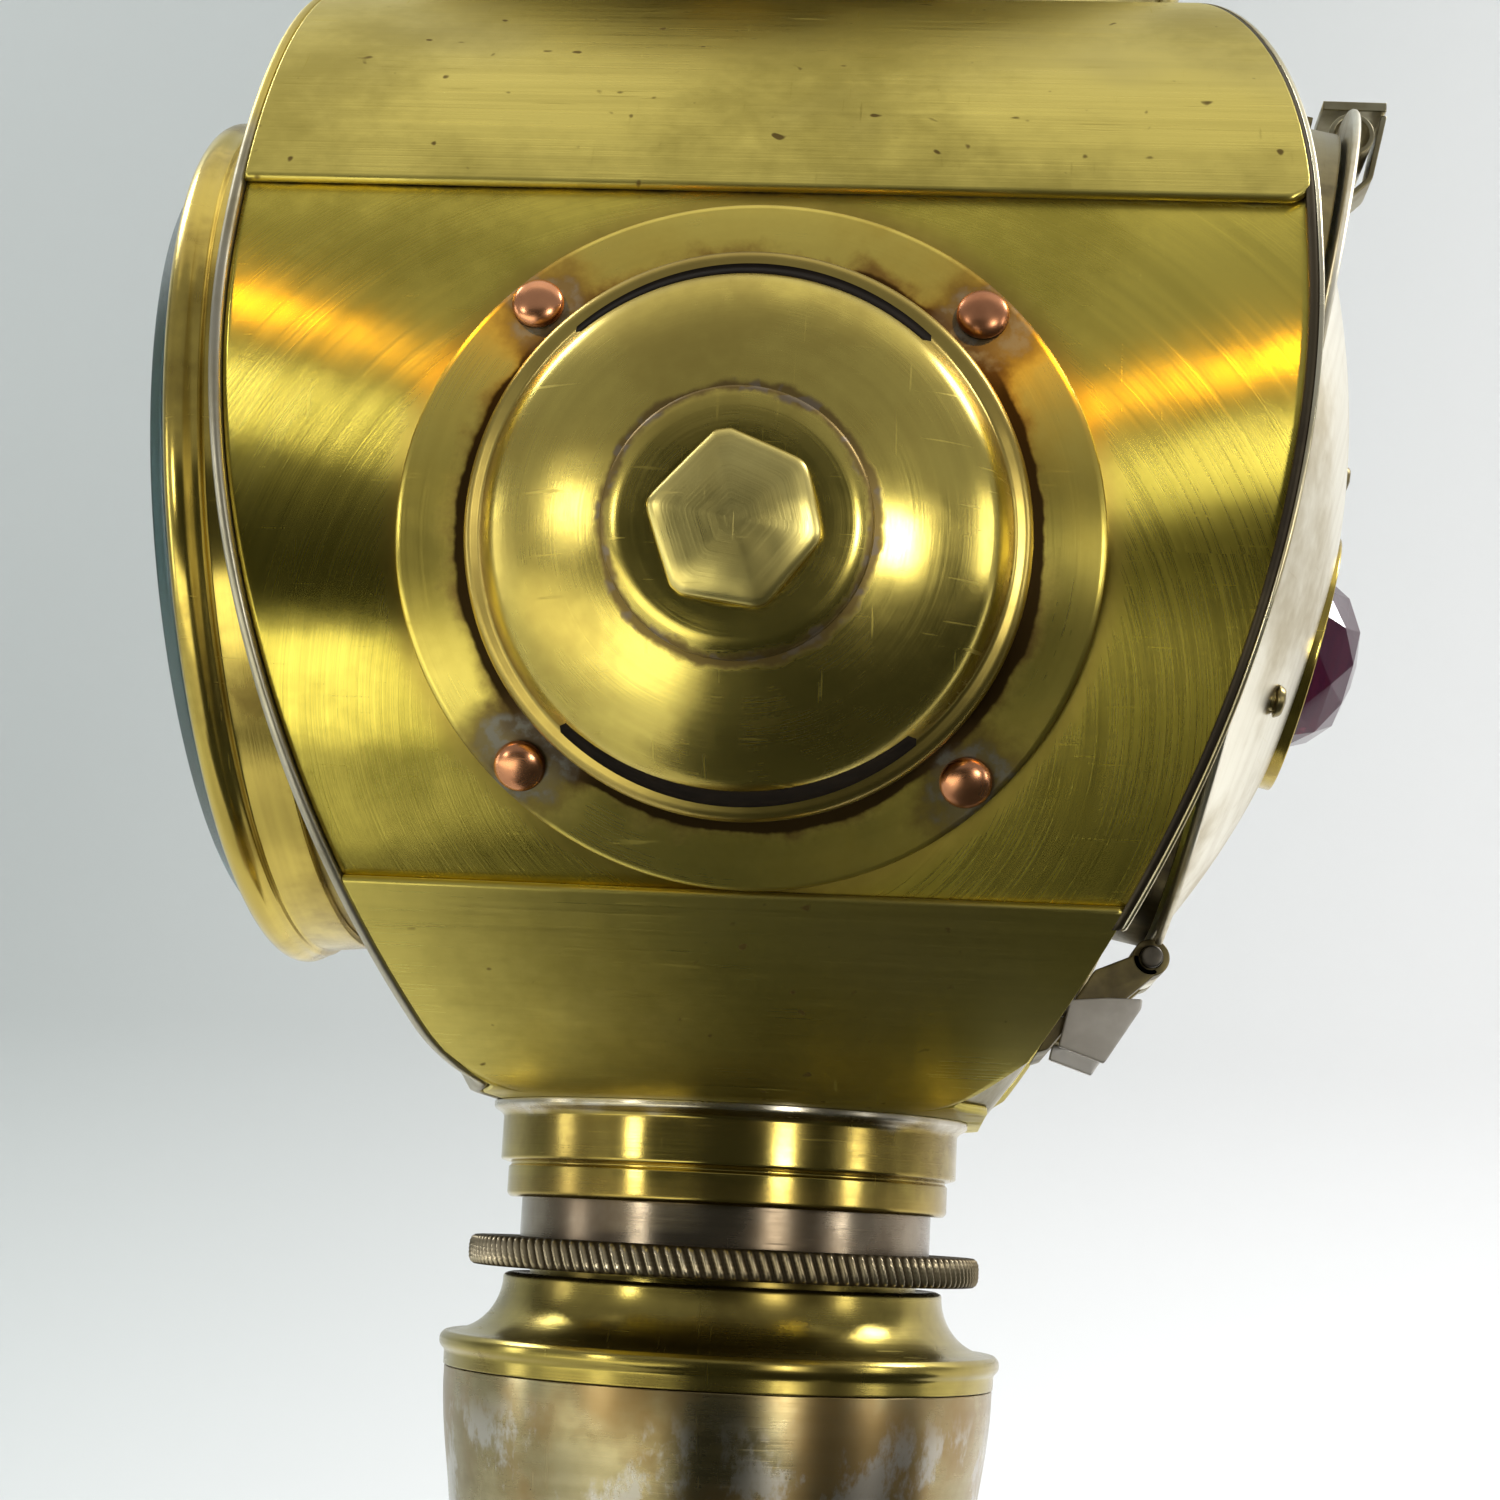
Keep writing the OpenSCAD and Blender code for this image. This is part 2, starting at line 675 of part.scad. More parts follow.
module reflector_rivets() {
    color([0.50, 0.45, 0.32])
    for (p = refl_posts) at_door() translate([p[0], p[1], 0]) {
        translate([0, 0, refl_h(p) - 0.7]) cylinder(h = dome_h(p) - refl_h(p) + head_up(p) + 0.9, r = 0.6);
        translate([0, 0, dome_h(p) + head_up(p)]) cylinder(h = 0.35, r = 0.9);
        translate([0, 0, refl_h(p) - 1.0]) cylinder(h = 0.45, r = 0.9);
    }
}

module jewel_ring() {
    color([0.74, 0.64, 0.32])
    at_jewel() rotate_extrude() polygon([
        [jewel_ring_r, -1.3], [jewel_ring_r, 0.4], [jewel_ring_r - 0.5, 0.4],
        [jewel_ring_r - 0.5, -0.1], [jewel_r + 0.15, -0.45], [jewel_r + 0.15, -0.85],
        [jewel_ring_r - 0.5, -0.55], [jewel_ring_r - 0.5, -1.3]]);
}

module jewel() {
    color([0.30, 0.10, 0.22])
    at_jewel() difference() {
        union() {
            translate([0, 0, -1.0]) cylinder(h = 1.6, r = jewel_r + 0.05);
            translate([0, 0, 0.5]) intersection() {
                cylinder(h = jewel_h - 0.5, r = jewel_r + 0.05);
                translate([0, 0, jewel_h - 0.5 - 6.0]) sphere(r = 6.2);
            }
        }
        for (a = [0:45:315]) rotate([0, 0, a]) translate([jewel_r - 0.15, 0, 0.55])
            rotate([0, -32, 0]) translate([0, -4, 0]) cube([4, 8, 6]);
        for (a = [22.5:45:337.5]) rotate([0, 0, a]) translate([jewel_r - 1.55, 0, 1.95])
            rotate([0, -62, 0]) translate([0, -4, 0]) cube([3, 8, 6]);
    }
}

module jewel_clip() {
    color([0.60, 0.52, 0.30])
    at_jewel() translate([0, 0, -1.6]) difference() {
        cylinder(h = 0.5, r = jewel_ring_r - 0.55);
        translate([0, 0, -1]) cylinder(h = 3, r = jewel_r - 0.8);
    }
}

// ---- latch ----

module latch_hook() {
    color([0.70, 0.66, 0.52])
    at_door() difference() {
        rotate([90, 0, 0]) {
            linear_extrude(height = 3.4, center = true)
                polygon([[-18.2, 0.85], [-20.9, 0.85], [-22.9, 2.3], [-26.9, 2.3], [-27.0, 2.65],
                    [-22.75, 2.65], [-20.75, 1.2], [-18.2, 1.2]]);
            linear_extrude(height = 3.8, center = true)
                polygon([[-26.3, -1.25], [-26.85, 2.2], [-26.9, 2.75], [-27.5, 2.65],
                    [-27.55, 2.2], [-26.9, -1.37]]);
        }
        translate([-latch_s, 0, 0]) cylinder(h = 3, r = 0.65);
    }
}

module latch_rivet() {
    color([0.40, 0.36, 0.28])
    at_door() translate([-latch_s, 0, 0]) {
        translate([0, 0, -0.6]) cylinder(h = 2.1, r = 0.6);
        translate([0, 0, 1.22]) intersection() {
            cylinder(h = 0.75, r = 1.2);
            translate([0, 0, -0.75]) sphere(r = 1.5);
        }
        translate([0, 0, -0.9]) cylinder(h = 0.5, r = 1.3);
    }
}

// ---- cap and knurled ring ----

module cap_sleeve() {
    color([0.62, 0.58, 0.52])
    rotate_extrude() polygon([[cap_r - cap_t, cap_low], [cap_r, cap_low], [cap_r, cap_top - 0.3],
        [cap_r - 0.3, cap_top], [7.5, cap_top], [7.5, cap_top - 0.45],
        [cap_r - cap_t, cap_top - 0.45]]);
}

module knurled_ring() {
    color([0.60, 0.50, 0.26])
    translate([0, 0, cap_low]) difference() {
        linear_extrude(height = ring_top - cap_low) polygon([for (i = [0:2 * knurl_n - 1])
            (knurl_r - (i % 2 == 0 ? 0 : 0.3)) * [cos(i * 180 / knurl_n), sin(i * 180 / knurl_n)]]);
        translate([0, 0, -1]) cylinder(h = 4, r = cap_r + film);
    }
}

// ---- candle holder ----

// Shoulder radius from the rim (u = 0) to the bead (u = 1)
function shoulder_at(u) = rim_r + (tube_top_r - rim_r) * (1 - cos(u * 90));

module bottle_shoulder() {
    color([0.62, 0.50, 0.28])
    rotate_extrude() polygon(concat(
        [[spout_r - spout_t, shoulder_foot - 1.5], [spout_r - spout_t, cap_top - 2.6],
            [spout_r, cap_top - 2.6], [spout_r, shoulder_top - 0.25],
            [rim_r - 0.45, shoulder_top]],
        [for (i = [0:8]) [shoulder_at(i / 8), shoulder_top - 0.2 - 0.61 * shoulder_h * sin(i * 90 / 8)]],
        [[shoulder_bead_r, shoulder_foot + 0.35 * shoulder_h],
            [shoulder_bead_r, shoulder_foot + 0.2 * shoulder_h],
            [tube_top_r + 0.05, shoulder_foot + 0.14 * shoulder_h],
            [tube_top_r + 0.05, shoulder_foot + film], [tube_top_r - tube_t - 0.15, shoulder_foot + film],
            [tube_top_r - tube_t - 0.15, shoulder_foot - 1], [tube_top_r - tube_t - 0.6, shoulder_foot - 1],
            [tube_top_r - tube_t - 0.6, shoulder_foot + 0.31 * shoulder_h]],
        [for (i = [7:-1:0])
            [shoulder_at(i / 8) - 0.35, shoulder_top - 0.65 - 0.59 * shoulder_h * sin(i * 90 / 8)]],
        [[spout_r, shoulder_top - 0.8], [spout_r, shoulder_foot - 1.5]]));
}

function tube_at(z) = tube_r + (tube_top_r - tube_r) * pow(sin(90 * (z - straight_top) / taper_h), 2);

module candle_tube() {
    color([0.58, 0.50, 0.36])
    rotate_extrude() polygon(concat(
        [[tube_r, foot_t + film], [tube_r, straight_top]],
        [for (i = [1:8]) [tube_at(straight_top + i * taper_h / 8), straight_top + i * taper_h / 8]],
        [for (i = [8:-1:0]) [tube_at(straight_top + i * taper_h / 8) - tube_t, straight_top + i * taper_h / 8]],
        [[tube_r - tube_t, foot_t + film]]));
}

module tube_foot_cap() {
    color([0.60, 0.52, 0.32])
    rotate_extrude() {
        square([tube_r - 0.1, foot_t]);
        translate([tube_r - tube_t - 0.5, foot_t - 0.1]) square([0.5 - film, 2.6]);
    }
}

// One ring of the spring wire, at turn angle a
spring_n = 6.5;
spring_r = 9.0;
wire_r = 0.55;
spring_low = foot_t + 0.03;
spring_high = candle_z - 1.03;
function wire_pt(a, b) = [(spring_r + wire_r * cos(b)) * cos(a), (spring_r + wire_r * cos(b)) * sin(a),
    spring_low + wire_r + (spring_high - spring_low - 2 * wire_r) * a / (360 * spring_n) + wire_r * sin(b)];

module candle_spring() {
    color([0.45, 0.43, 0.40])
    polyhedron(
        points = [for (i = [0:130]) for (j = [0:7]) wire_pt(i * 18, j * 45)],
        faces = concat(
            [for (i = [0:129]) for (j = [0:7])
                [i * 8 + j, (i + 1) * 8 + j, (i + 1) * 8 + (j + 1) % 8, i * 8 + (j + 1) % 8]],
            [[for (j = [0:7]) j]],
            [[for (j = [7:-1:0]) 130 * 8 + j]]));
}

module candle_follower() {
    color([0.60, 0.55, 0.40])
    translate([0, 0, candle_z - 1]) difference() {
        union() {
            cylinder(h = 0.95, r = follower_r);
            cylinder(h = 4, r = follower_r);
        }
        translate([0, 0, 0.95]) difference() {
            cylinder(h = 9, r = follower_r - 0.4);
            cylinder(h = 9, r = candle_r + 0.45);
        }
        translate([0, 0, 0.95]) cylinder(h = 9, r = candle_r + 0.05);
    }
}

module candle() {
    color([0.93, 0.90, 0.82])
    translate([0, 0, candle_z]) cylinder(h = cap_top - 0.5 - candle_z, r = candle_r);
}

module wick() {
    color([0.20, 0.17, 0.15])
    translate([0, 0, cap_top - 0.47]) cylinder(h = 6, r = 0.8);
}

near_side_sheet();
far_side_sheet();
roof_saddle();
bottom_saddle();
front_plate();
front_collar();
bezel();
lens_glass();
lens_ring();
rear_plate();
rear_collar();
catch_lug();
hinge_leaf();
hinge_pin();
near_vent_flange();
near_vent_dome();
near_vent_boss();
near_vent_stud();
near_vent_rivets();
far_vent_flange();
far_vent_dome();
far_vent_boss();
far_vent_stud();
far_vent_rivets();
chimney_tube();
cowl();
cowl_straps();
cowl_knob();
neck_collar();
door_panel();
reflector();
reflector_rivets();
jewel_ring();
jewel();
jewel_clip();
latch_hook();
latch_rivet();
cap_sleeve();
knurled_ring();
bottle_shoulder();
candle_tube();
tube_foot_cap();
candle_spring();
candle_follower();
candle();
wick();
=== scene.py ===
import bmesh
import bpy
import numpy as np
from mathutils import Matrix, Vector


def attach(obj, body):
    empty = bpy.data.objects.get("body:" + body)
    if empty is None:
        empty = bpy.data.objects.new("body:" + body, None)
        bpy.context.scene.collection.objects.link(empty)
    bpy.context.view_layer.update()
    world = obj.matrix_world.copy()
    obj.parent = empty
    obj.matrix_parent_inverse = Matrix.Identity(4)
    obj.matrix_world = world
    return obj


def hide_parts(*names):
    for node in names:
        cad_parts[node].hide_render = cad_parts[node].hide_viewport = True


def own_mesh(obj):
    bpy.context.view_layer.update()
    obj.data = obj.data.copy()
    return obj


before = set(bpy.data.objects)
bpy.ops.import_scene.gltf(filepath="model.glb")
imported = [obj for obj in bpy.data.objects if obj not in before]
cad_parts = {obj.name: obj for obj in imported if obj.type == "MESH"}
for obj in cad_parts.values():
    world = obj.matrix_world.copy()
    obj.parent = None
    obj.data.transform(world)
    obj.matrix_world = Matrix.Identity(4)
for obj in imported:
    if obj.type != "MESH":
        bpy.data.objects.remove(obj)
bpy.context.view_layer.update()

# Camera and room. The lamp stands on a pale floor in front of a pale wall, and
# is seen square on from its near side, a little from below.


def add(name, data):
    """New object in the scene for a mesh, a light or a camera."""
    thing = bpy.data.objects.new(name, data)
    bpy.context.scene.collection.objects.link(thing)
    return thing


def fill(tree, made, inputs):
    """Sets a node's inputs, by name or number, to numbers, triples or other nodes' sockets."""
    for word, value in inputs.items():
        socket = made.inputs[word]
        if isinstance(value, bpy.types.NodeSocket):
            tree.links.new(value, socket)
        elif np.ndim(value):
            socket.default_value = [*map(float, value), 1.0][:len(socket.default_value)]
        else:
            socket.default_value = value
    return made


def node(tree, kind, inputs, **settings):
    """New node of a kind, with its settings made before its inputs are filled."""
    made = tree.nodes.new("ShaderNode" + kind)
    for word, value in settings.items():
        setattr(made, word, value)
    return fill(tree, made, inputs)


def vector(tree, operation, *values):
    """One Vector Math node; a length or a dot product gives a number."""
    made = node(tree, "VectorMath", dict(enumerate(values)), operation=operation)
    return made.outputs[int(operation in ("LENGTH", "DOT_PRODUCT"))]


def new_paint(name):
    """New material: returns it with its tree, its shader and the place on the piece."""
    paint = bpy.data.materials.new(name)
    paint.use_nodes = True
    tree = paint.node_tree
    return paint, tree, tree.nodes["Principled BSDF"], node(tree, "TexCoord", {}).outputs["Object"]


def panel(name, corners, colour, strength):
    """Flat four cornered card of even glow that only mirrors show. It hides nothing and casts no shadow."""
    mesh = bpy.data.meshes.new(name)
    mesh.from_pydata(corners, [], [(0, 1, 2, 3)])
    paint, tree, _, _ = new_paint(name)
    glow = node(tree, "Emission", {"Color": colour, "Strength": strength})
    tree.links.new(glow.outputs[0], tree.nodes["Material Output"].inputs["Surface"])
    mesh.materials.append(paint)
    card = add(name, mesh)
    card.visible_camera = card.visible_diffuse = card.visible_shadow = False


def shadow_fade_paint(name, low, high, start, end):
    """Matt paint that fades from one pale grey to another between two points: a painted shadow, darkest at
    the first point.
    """
    paint, tree, shader, where = new_paint(name)
    step = Vector(end) - Vector(start)
    along = vector(tree, "DOT_PRODUCT", vector(tree, "SUBTRACT", where, start), step / step.length_squared)
    ramp = node(tree, "ValToRGB", {"Fac": along})
    ramp.color_ramp.interpolation = "EASE"
    for stop, tone in zip(ramp.color_ramp.elements, (low, high)):
        stop.color = (*tone, 1.0)
    fill(tree, shader, {"Base Color": ramp.outputs["Color"], "Roughness": 0.9})
    return paint


def soft_light(name, place, aim, width, height, power, colour):
    """Rectangular area light that faces a point."""
    data = bpy.data.lights.new(name, "AREA")
    data.shape = "RECTANGLE"
    data.size, data.size_y = width, height
    data.energy, data.color = power, colour
    lamp = add(name, data)
    lamp.location = place
    lamp.rotation_mode = "QUATERNION"
    lamp.rotation_quaternion = (Vector(aim) - Vector(place)).to_track_quat("-Z", "Y")
    return lamp


camera_data = bpy.data.cameras.new("side_camera")
camera_data.lens, camera_data.sensor_width = 62.4, 36.0
camera = add("side_camera", camera_data)
look = Vector((-0.07377, 0.98112, 0.17880)).normalized()
right = Vector((0.99659, 0.06587, 0.04978)).normalized()
turn = Matrix((right, right.cross(look), -look)).transposed().to_4x4()
camera.matrix_world = Matrix.Translation((0.0110, -0.1460, 0.0603)) @ turn
bpy.context.scene.camera = camera
bpy.context.scene.view_settings.view_transform = "Standard"

WALL_Y, SWEEP_R, FLOOR_HALF = 0.43, 0.1, 3.0
bend = np.radians(np.linspace(0, 90, 25))
sweep_y = np.concatenate([[-3.0, -0.3], WALL_Y - SWEEP_R + SWEEP_R * np.sin(bend), [WALL_Y, WALL_Y]])
sweep_z = np.concatenate([[0.0, 0.0], SWEEP_R - SWEEP_R * np.cos(bend), [0.5, 2.4]])
sweep_points = [(x, y, z) for y, z in zip(sweep_y, sweep_z) for x in (-FLOOR_HALF, FLOOR_HALF)]
sweep_faces = [(2 * k, 2 * k + 1, 2 * k + 3, 2 * k + 2) for k in range(len(sweep_y) - 1)]
floor_mesh = bpy.data.meshes.new("floor")
floor_mesh.from_pydata(sweep_points, [], sweep_faces)
floor_mesh.shade_smooth()
# The sweep's paint is a painted shadow: darker grey towards the left and top, pale towards the lower right.
floor_mesh.materials.append(shadow_fade_paint("floor_painted_shadow", (0.55, 0.58, 0.57), (0.84, 0.84, 0.84),
                                       (-0.20, WALL_Y, 0.20), (0.12, WALL_Y, 0.00)))
floor = add("floor", floor_mesh)

world = bpy.data.worlds.new("soft_room")
bpy.context.scene.world = world
world.use_nodes = True
fill(world.node_tree, world.node_tree.nodes["Background"], {"Color": (0.95, 0.97, 1.0), "Strength": 0.33})

sheets_only = bpy.data.collections.new("sheets_only")
all_but_sheets = bpy.data.collections.new("all_but_sheets")
warm_pieces = bpy.data.collections.new("warm_pieces")
soft_light("ceiling_light", (0.0, 0.1, 1.0), (0, 0.1, 0.0), 1.7, 1.1, 3.7, (1.0, 0.98, 0.92))
soft_light("left_back_light", (-0.65, 0.25, 0.75), (0, 0.1, 0.1), 0.25, 0.25, 3.6, (0.95, 0.98, 1.0))
soft_light("right_back_light", (0.75, 0.2, 0.8), (0.1, 0.1, 0.1), 0.25, 0.25, 6.0, (1.0, 1.0, 1.0))
for word, place, width, height, power, pieces in (
        ("left_window", (-0.32, -0.34, 0.105), 0.06, 0.07, 0.19, all_but_sheets),
        ("right_window", (0.24, -0.40, 0.060), 0.07, 0.08, 0.42, all_but_sheets),
        ("left_sheet_window", (-0.27, -0.38, 0.320), 0.08, 0.11, 0.42, sheets_only),
        ("right_sheet_window", (0.24, -0.38, 0.290), 0.08, 0.11, 0.74, sheets_only)):
    window = soft_light(word, place, (0, -0.03, 0.09), width, height, power, (1.0, 1.0, 0.95))
    window.light_linking.receiver_collection = pieces
soft_light("left_side_window", (-0.50, -0.05, 0.10), (0, 0, 0.07), 0.08, 0.18, 0.18, (0.97, 0.99, 1.0))
soft_light("right_side_window", (0.46, -0.17, 0.12), (0, 0, 0.08), 0.07, 0.16, 0.22, (1.0, 1.0, 0.97))
for word, place, power in (("left_warm_light", (-0.34, -0.31, 0.56), 1.2),
                           ("right_warm_light", (0.27, -0.36, 0.52), 1.7)):
    warm_light = soft_light(word, place, (0, -0.03, 0.1), 0.05, 0.03, power, (1.0, 0.50, 0.02))
    warm_light.visible_diffuse = False
    warm_light.light_linking.receiver_collection = warm_pieces

SHADE, DAY, CARD_Z = (0.030, 0.032, 0.026), (1.0, 1.0, 0.85), 0.002
panel("front_card", [(-0.7, -0.46, 0.0), (0.7, -0.46, 0.0), (0.7, -0.47, 0.23), (-0.7, -0.47, 0.10)],
      SHADE, 1.0)
for word, corners, colour, strength in (
        ("right_floor_card", [(-0.03, -0.06), (0.7, -0.06), (0.7, -0.46), (-0.03, -0.46)], SHADE, 1.0),
        ("left_floor_card", [(-0.7, -0.25), (-0.03, -0.25), (-0.03, -0.46), (-0.7, -0.46)], SHADE, 1.0),
        ("under_card", [(-0.05, -0.06), (0.7, -0.06), (0.7, 0.03), (0.03, 0.03)], SHADE, 1.5),
        ("left_floor_glow", [(-0.40, -0.11), (-0.04, -0.11), (-0.04, -0.23), (-0.40, -0.23)], DAY, 2.4)):
    panel(word, [(x, y, CARD_Z) for x, y in corners], colour, strength)

# Side sheets. Two curved brass sheets, 0.5 mm thick, that close the sides of
# the drum. Each has a round air hole, and is polished round and round it.
MM = 0.001
DRUM, SHEET, SIDE_R = 96.0, 0.5, 32.8
FRONT_X, REAR_X, FRONT_ARC, REAR_ARC, TOP_ARC = -23.2, 27.1, 71.77, 62.21, 42.0
STRAIGHT_LOW, STRAIGHT_TOP = 8.5, 12.0
VENT_X, VENT_DOWN, VENT_HOLE, GRAIN_DROP = 1.9, np.radians(9.3), 11.0, 8.0
SIDE_LOW, SIDE_TOP = np.radians(42.5), np.radians(25.4)


def front_edge(z, grow=0.0):
    """Front edge of the drum at height z over its axis: straight above a height and a circle below it."""
    low = np.minimum(z - STRAIGHT_LOW, 0.0)
    return FRONT_X + FRONT_ARC - np.sqrt((FRONT_ARC + grow) ** 2 - low ** 2)


def rear_edge(z, grow=0.0):
    """Rear edge of the drum: straight between two heights, and a circle below and above them."""
    low, high = np.minimum(z - STRAIGHT_LOW, 0.0), np.maximum(z - STRAIGHT_TOP, 0.0)
    return (REAR_X - REAR_ARC + np.sqrt((REAR_ARC + grow) ** 2 - low ** 2)
            - TOP_ARC - grow + np.sqrt((TOP_ARC + grow) ** 2 - high ** 2))


def reach(inside, centre, angles):
    """Distance from centre to the outline in each direction, found by halving the step 40 times."""
    near, out = np.zeros(len(angles)), np.full(len(angles), 90.0)
    for _ in range(40):
        middle = (near + out) / 2
        held = inside(centre[0] + middle * np.cos(angles), centre[1] + middle * np.sin(angles))
        near, out = np.where(held, middle, near), np.where(held, out, middle)
    return np.stack([centre[0] + near * np.cos(angles), centre[1] + near * np.sin(angles)], 1)


def full_turn(count):
    """Even angles all the way round."""
    return np.arange(count) * 2 * np.pi / count


def directions(count, centre, corners):
    """Even angles round a centre, with the angle of each corner put among them."""
    extra = [np.arctan2(q - centre[1], p - centre[0]) % (2 * np.pi) for p, q in corners]
    return np.sort(np.concatenate([full_turn(count), extra]))


def pierced(inner, outer, place, t, rings, ease=0.1, straight=False, grain_drop=0.0):
    """Sheet between a hole and an outline, given as matching curves on the flat sheet. A face point lies at
    distance d from the hole along the line to the outline; place bends the flat point (p, q) at height h,
    from 0 on the outer face to -t on the inner. Returns the points and the places of their grain, which
    runs straight along p or round a point grain_drop under the hole's middle (20 mm to a radian)."""
    span = np.linalg.norm(outer - inner, axis=1)[:, None]
    even = np.linspace(0, 1, rings)[None, :] * (span - 6 * ease) + 3 * ease
    face = np.concatenate([np.full_like(span, ease), even, span - ease], 1)
    edge = np.repeat(span, 2, 1)
    d = np.concatenate([face, edge, face[:, ::-1], edge * 0], 1)
    n = face.shape[1]
    h = np.concatenate([np.zeros(n), [-0.3 * t, -0.7 * t], np.full(n, -t), [-0.7 * t, -0.3 * t]])
    flat = inner[:, None, :] + (outer - inner)[:, None, :] * (d / span)[:, :, None]
    bent = place(flat[..., 0], flat[..., 1], h[None, :])
    if straight:
        return bent, flat
    off = flat - inner.mean(0) + np.array([0.0, grain_drop])
    turn_to = np.unwrap(np.arctan2(off[..., 1], off[..., 0]), axis=0)
    return bent, np.stack([20.0 * turn_to, np.hypot(off[..., 0], off[..., 1])], -1)


def shaped(name, grids, paint, slot, body, *stands_for, open_ends=False):
    """Mesh of closed point grids, each (round, section, xyz) in mm or a pair with its flat places.
    Neighbours share a face, the last row meets the first, and each grid is turned to face outwards."""
    points, quads, marks, start = [], [], [], 0
    for grid in grids if isinstance(grids, list) else [grids]:
        place, flat = grid if isinstance(grid, tuple) else (grid, None)
        index = np.arange(place[..., 0].size).reshape(place.shape[:2])
        right_of, over = np.roll(index, -1, 0), np.roll(index, -1, 1)
        quad = np.stack([index, right_of, np.roll(right_of, -1, 1), over], -1)
        if flat is None:
            du = np.linalg.norm(np.roll(place, -1, 0) - place, axis=2).mean(1)
            dv = np.linalg.norm(np.roll(place, -1, 1) - place, axis=2).mean(0)
            runs = [np.concatenate([[0], np.cumsum(d)]) for d in (du, dv)]
            uv = np.stack(np.meshgrid(*runs, indexing="ij"), -1)
            mark = np.stack([uv[:-1, :-1], uv[1:, :-1], uv[1:, 1:], uv[:-1, 1:]], 2)
        else:
            mark = flat.reshape(-1, 2)[quad]
            along = mark[..., 0]
            mark[..., 0] += 40 * np.pi * (along.max(-1, keepdims=True) - along > 62)
        if open_ends:
            quad, mark = quad[:-1], mark[:-1]
        quad, mark, place = quad.reshape(-1, 4), mark.reshape(-1, 4, 2), place.reshape(-1, 3)
        a, b, c, e = (place[quad[:, k]] for k in range(4))
        if (np.cross(a, b) * c).sum() + (np.cross(a, c) * e).sum() < 0:
            quad, mark = quad[:, ::-1], mark[:, ::-1]
        points.append(place * MM)
        quads.append(quad + start)
        marks.append(mark * MM)
        start += len(place)
    points, quads, marks = np.concatenate(points), np.concatenate(quads), np.concatenate(marks)
    mesh = bpy.data.meshes.new(name)
    mesh.vertices.add(len(points))
    mesh.vertices.foreach_set("co", points.astype(np.float32).ravel())
    mesh.loops.add(len(quads) * 4)
    mesh.loops.foreach_set("vertex_index", quads.astype(np.int32).ravel())
    mesh.polygons.add(len(quads))
    mesh.polygons.foreach_set("loop_start", np.arange(0, len(quads) * 4, 4, dtype=np.int32))
    mesh.polygons.foreach_set("use_smooth", np.ones(len(quads), bool))
    mesh.uv_layers.new(name="grain").uv.foreach_set("vector", marks.astype(np.float32).ravel())
    mesh.update(calc_edges=True)
    joined = bmesh.new()
    joined.from_mesh(mesh)
    bmesh.ops.remove_doubles(joined, verts=joined.verts, dist=2e-7)
    joined.to_mesh(mesh)
    joined.free()
    mesh.materials.append(paint)
    piece = add(name, mesh)
    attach(piece, body)
    if stands_for:
        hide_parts(*stands_for)
    return piece


def number(tree, operation, *values):
    """One Math node: its inputs are numbers or other nodes' sockets."""
    return node(tree, "Math", dict(enumerate(values)), operation=operation).outputs[0]


def plus(tree, a, b):
    """Sum."""
    return number(tree, "ADD", a, b)


def minus(tree, a, b):
    """Difference."""
    return number(tree, "SUBTRACT", a, b)


def times(tree, a, b):
    """Product."""
    return number(tree, "MULTIPLY", a, b)


def fade(tree, value, low, high):
    """Smooth step of a value from 0 at the first limit to 1 at the second."""
    return node(tree, "MapRange", {"Value": value, "From Min": low, "From Max": high},
                interpolation_type="SMOOTHSTEP").outputs[0]


def noise(tree, where, scale, detail=3.0, stretch=(1, 1, 1), turned_by=(0, 0, 0), rough=0.55):
    """Noise of the given frequency, drawn out along the axes with a small stretch value."""
    lay = node(tree, "Mapping", {"Vector": where, "Scale": stretch, "Rotation": turned_by})
    return node(tree, "TexNoise", {"Vector": lay.outputs[0], "Scale": scale, "Detail": detail,
                                   "Roughness": rough}).outputs["Fac"]


def blend_colour(tree, amount, first, second):
    """Colour mix by an amount; colours are triples or sockets."""
    return node(tree, "Mix", {0: amount, 6: first, 7: second}, data_type="RGBA").outputs[2]


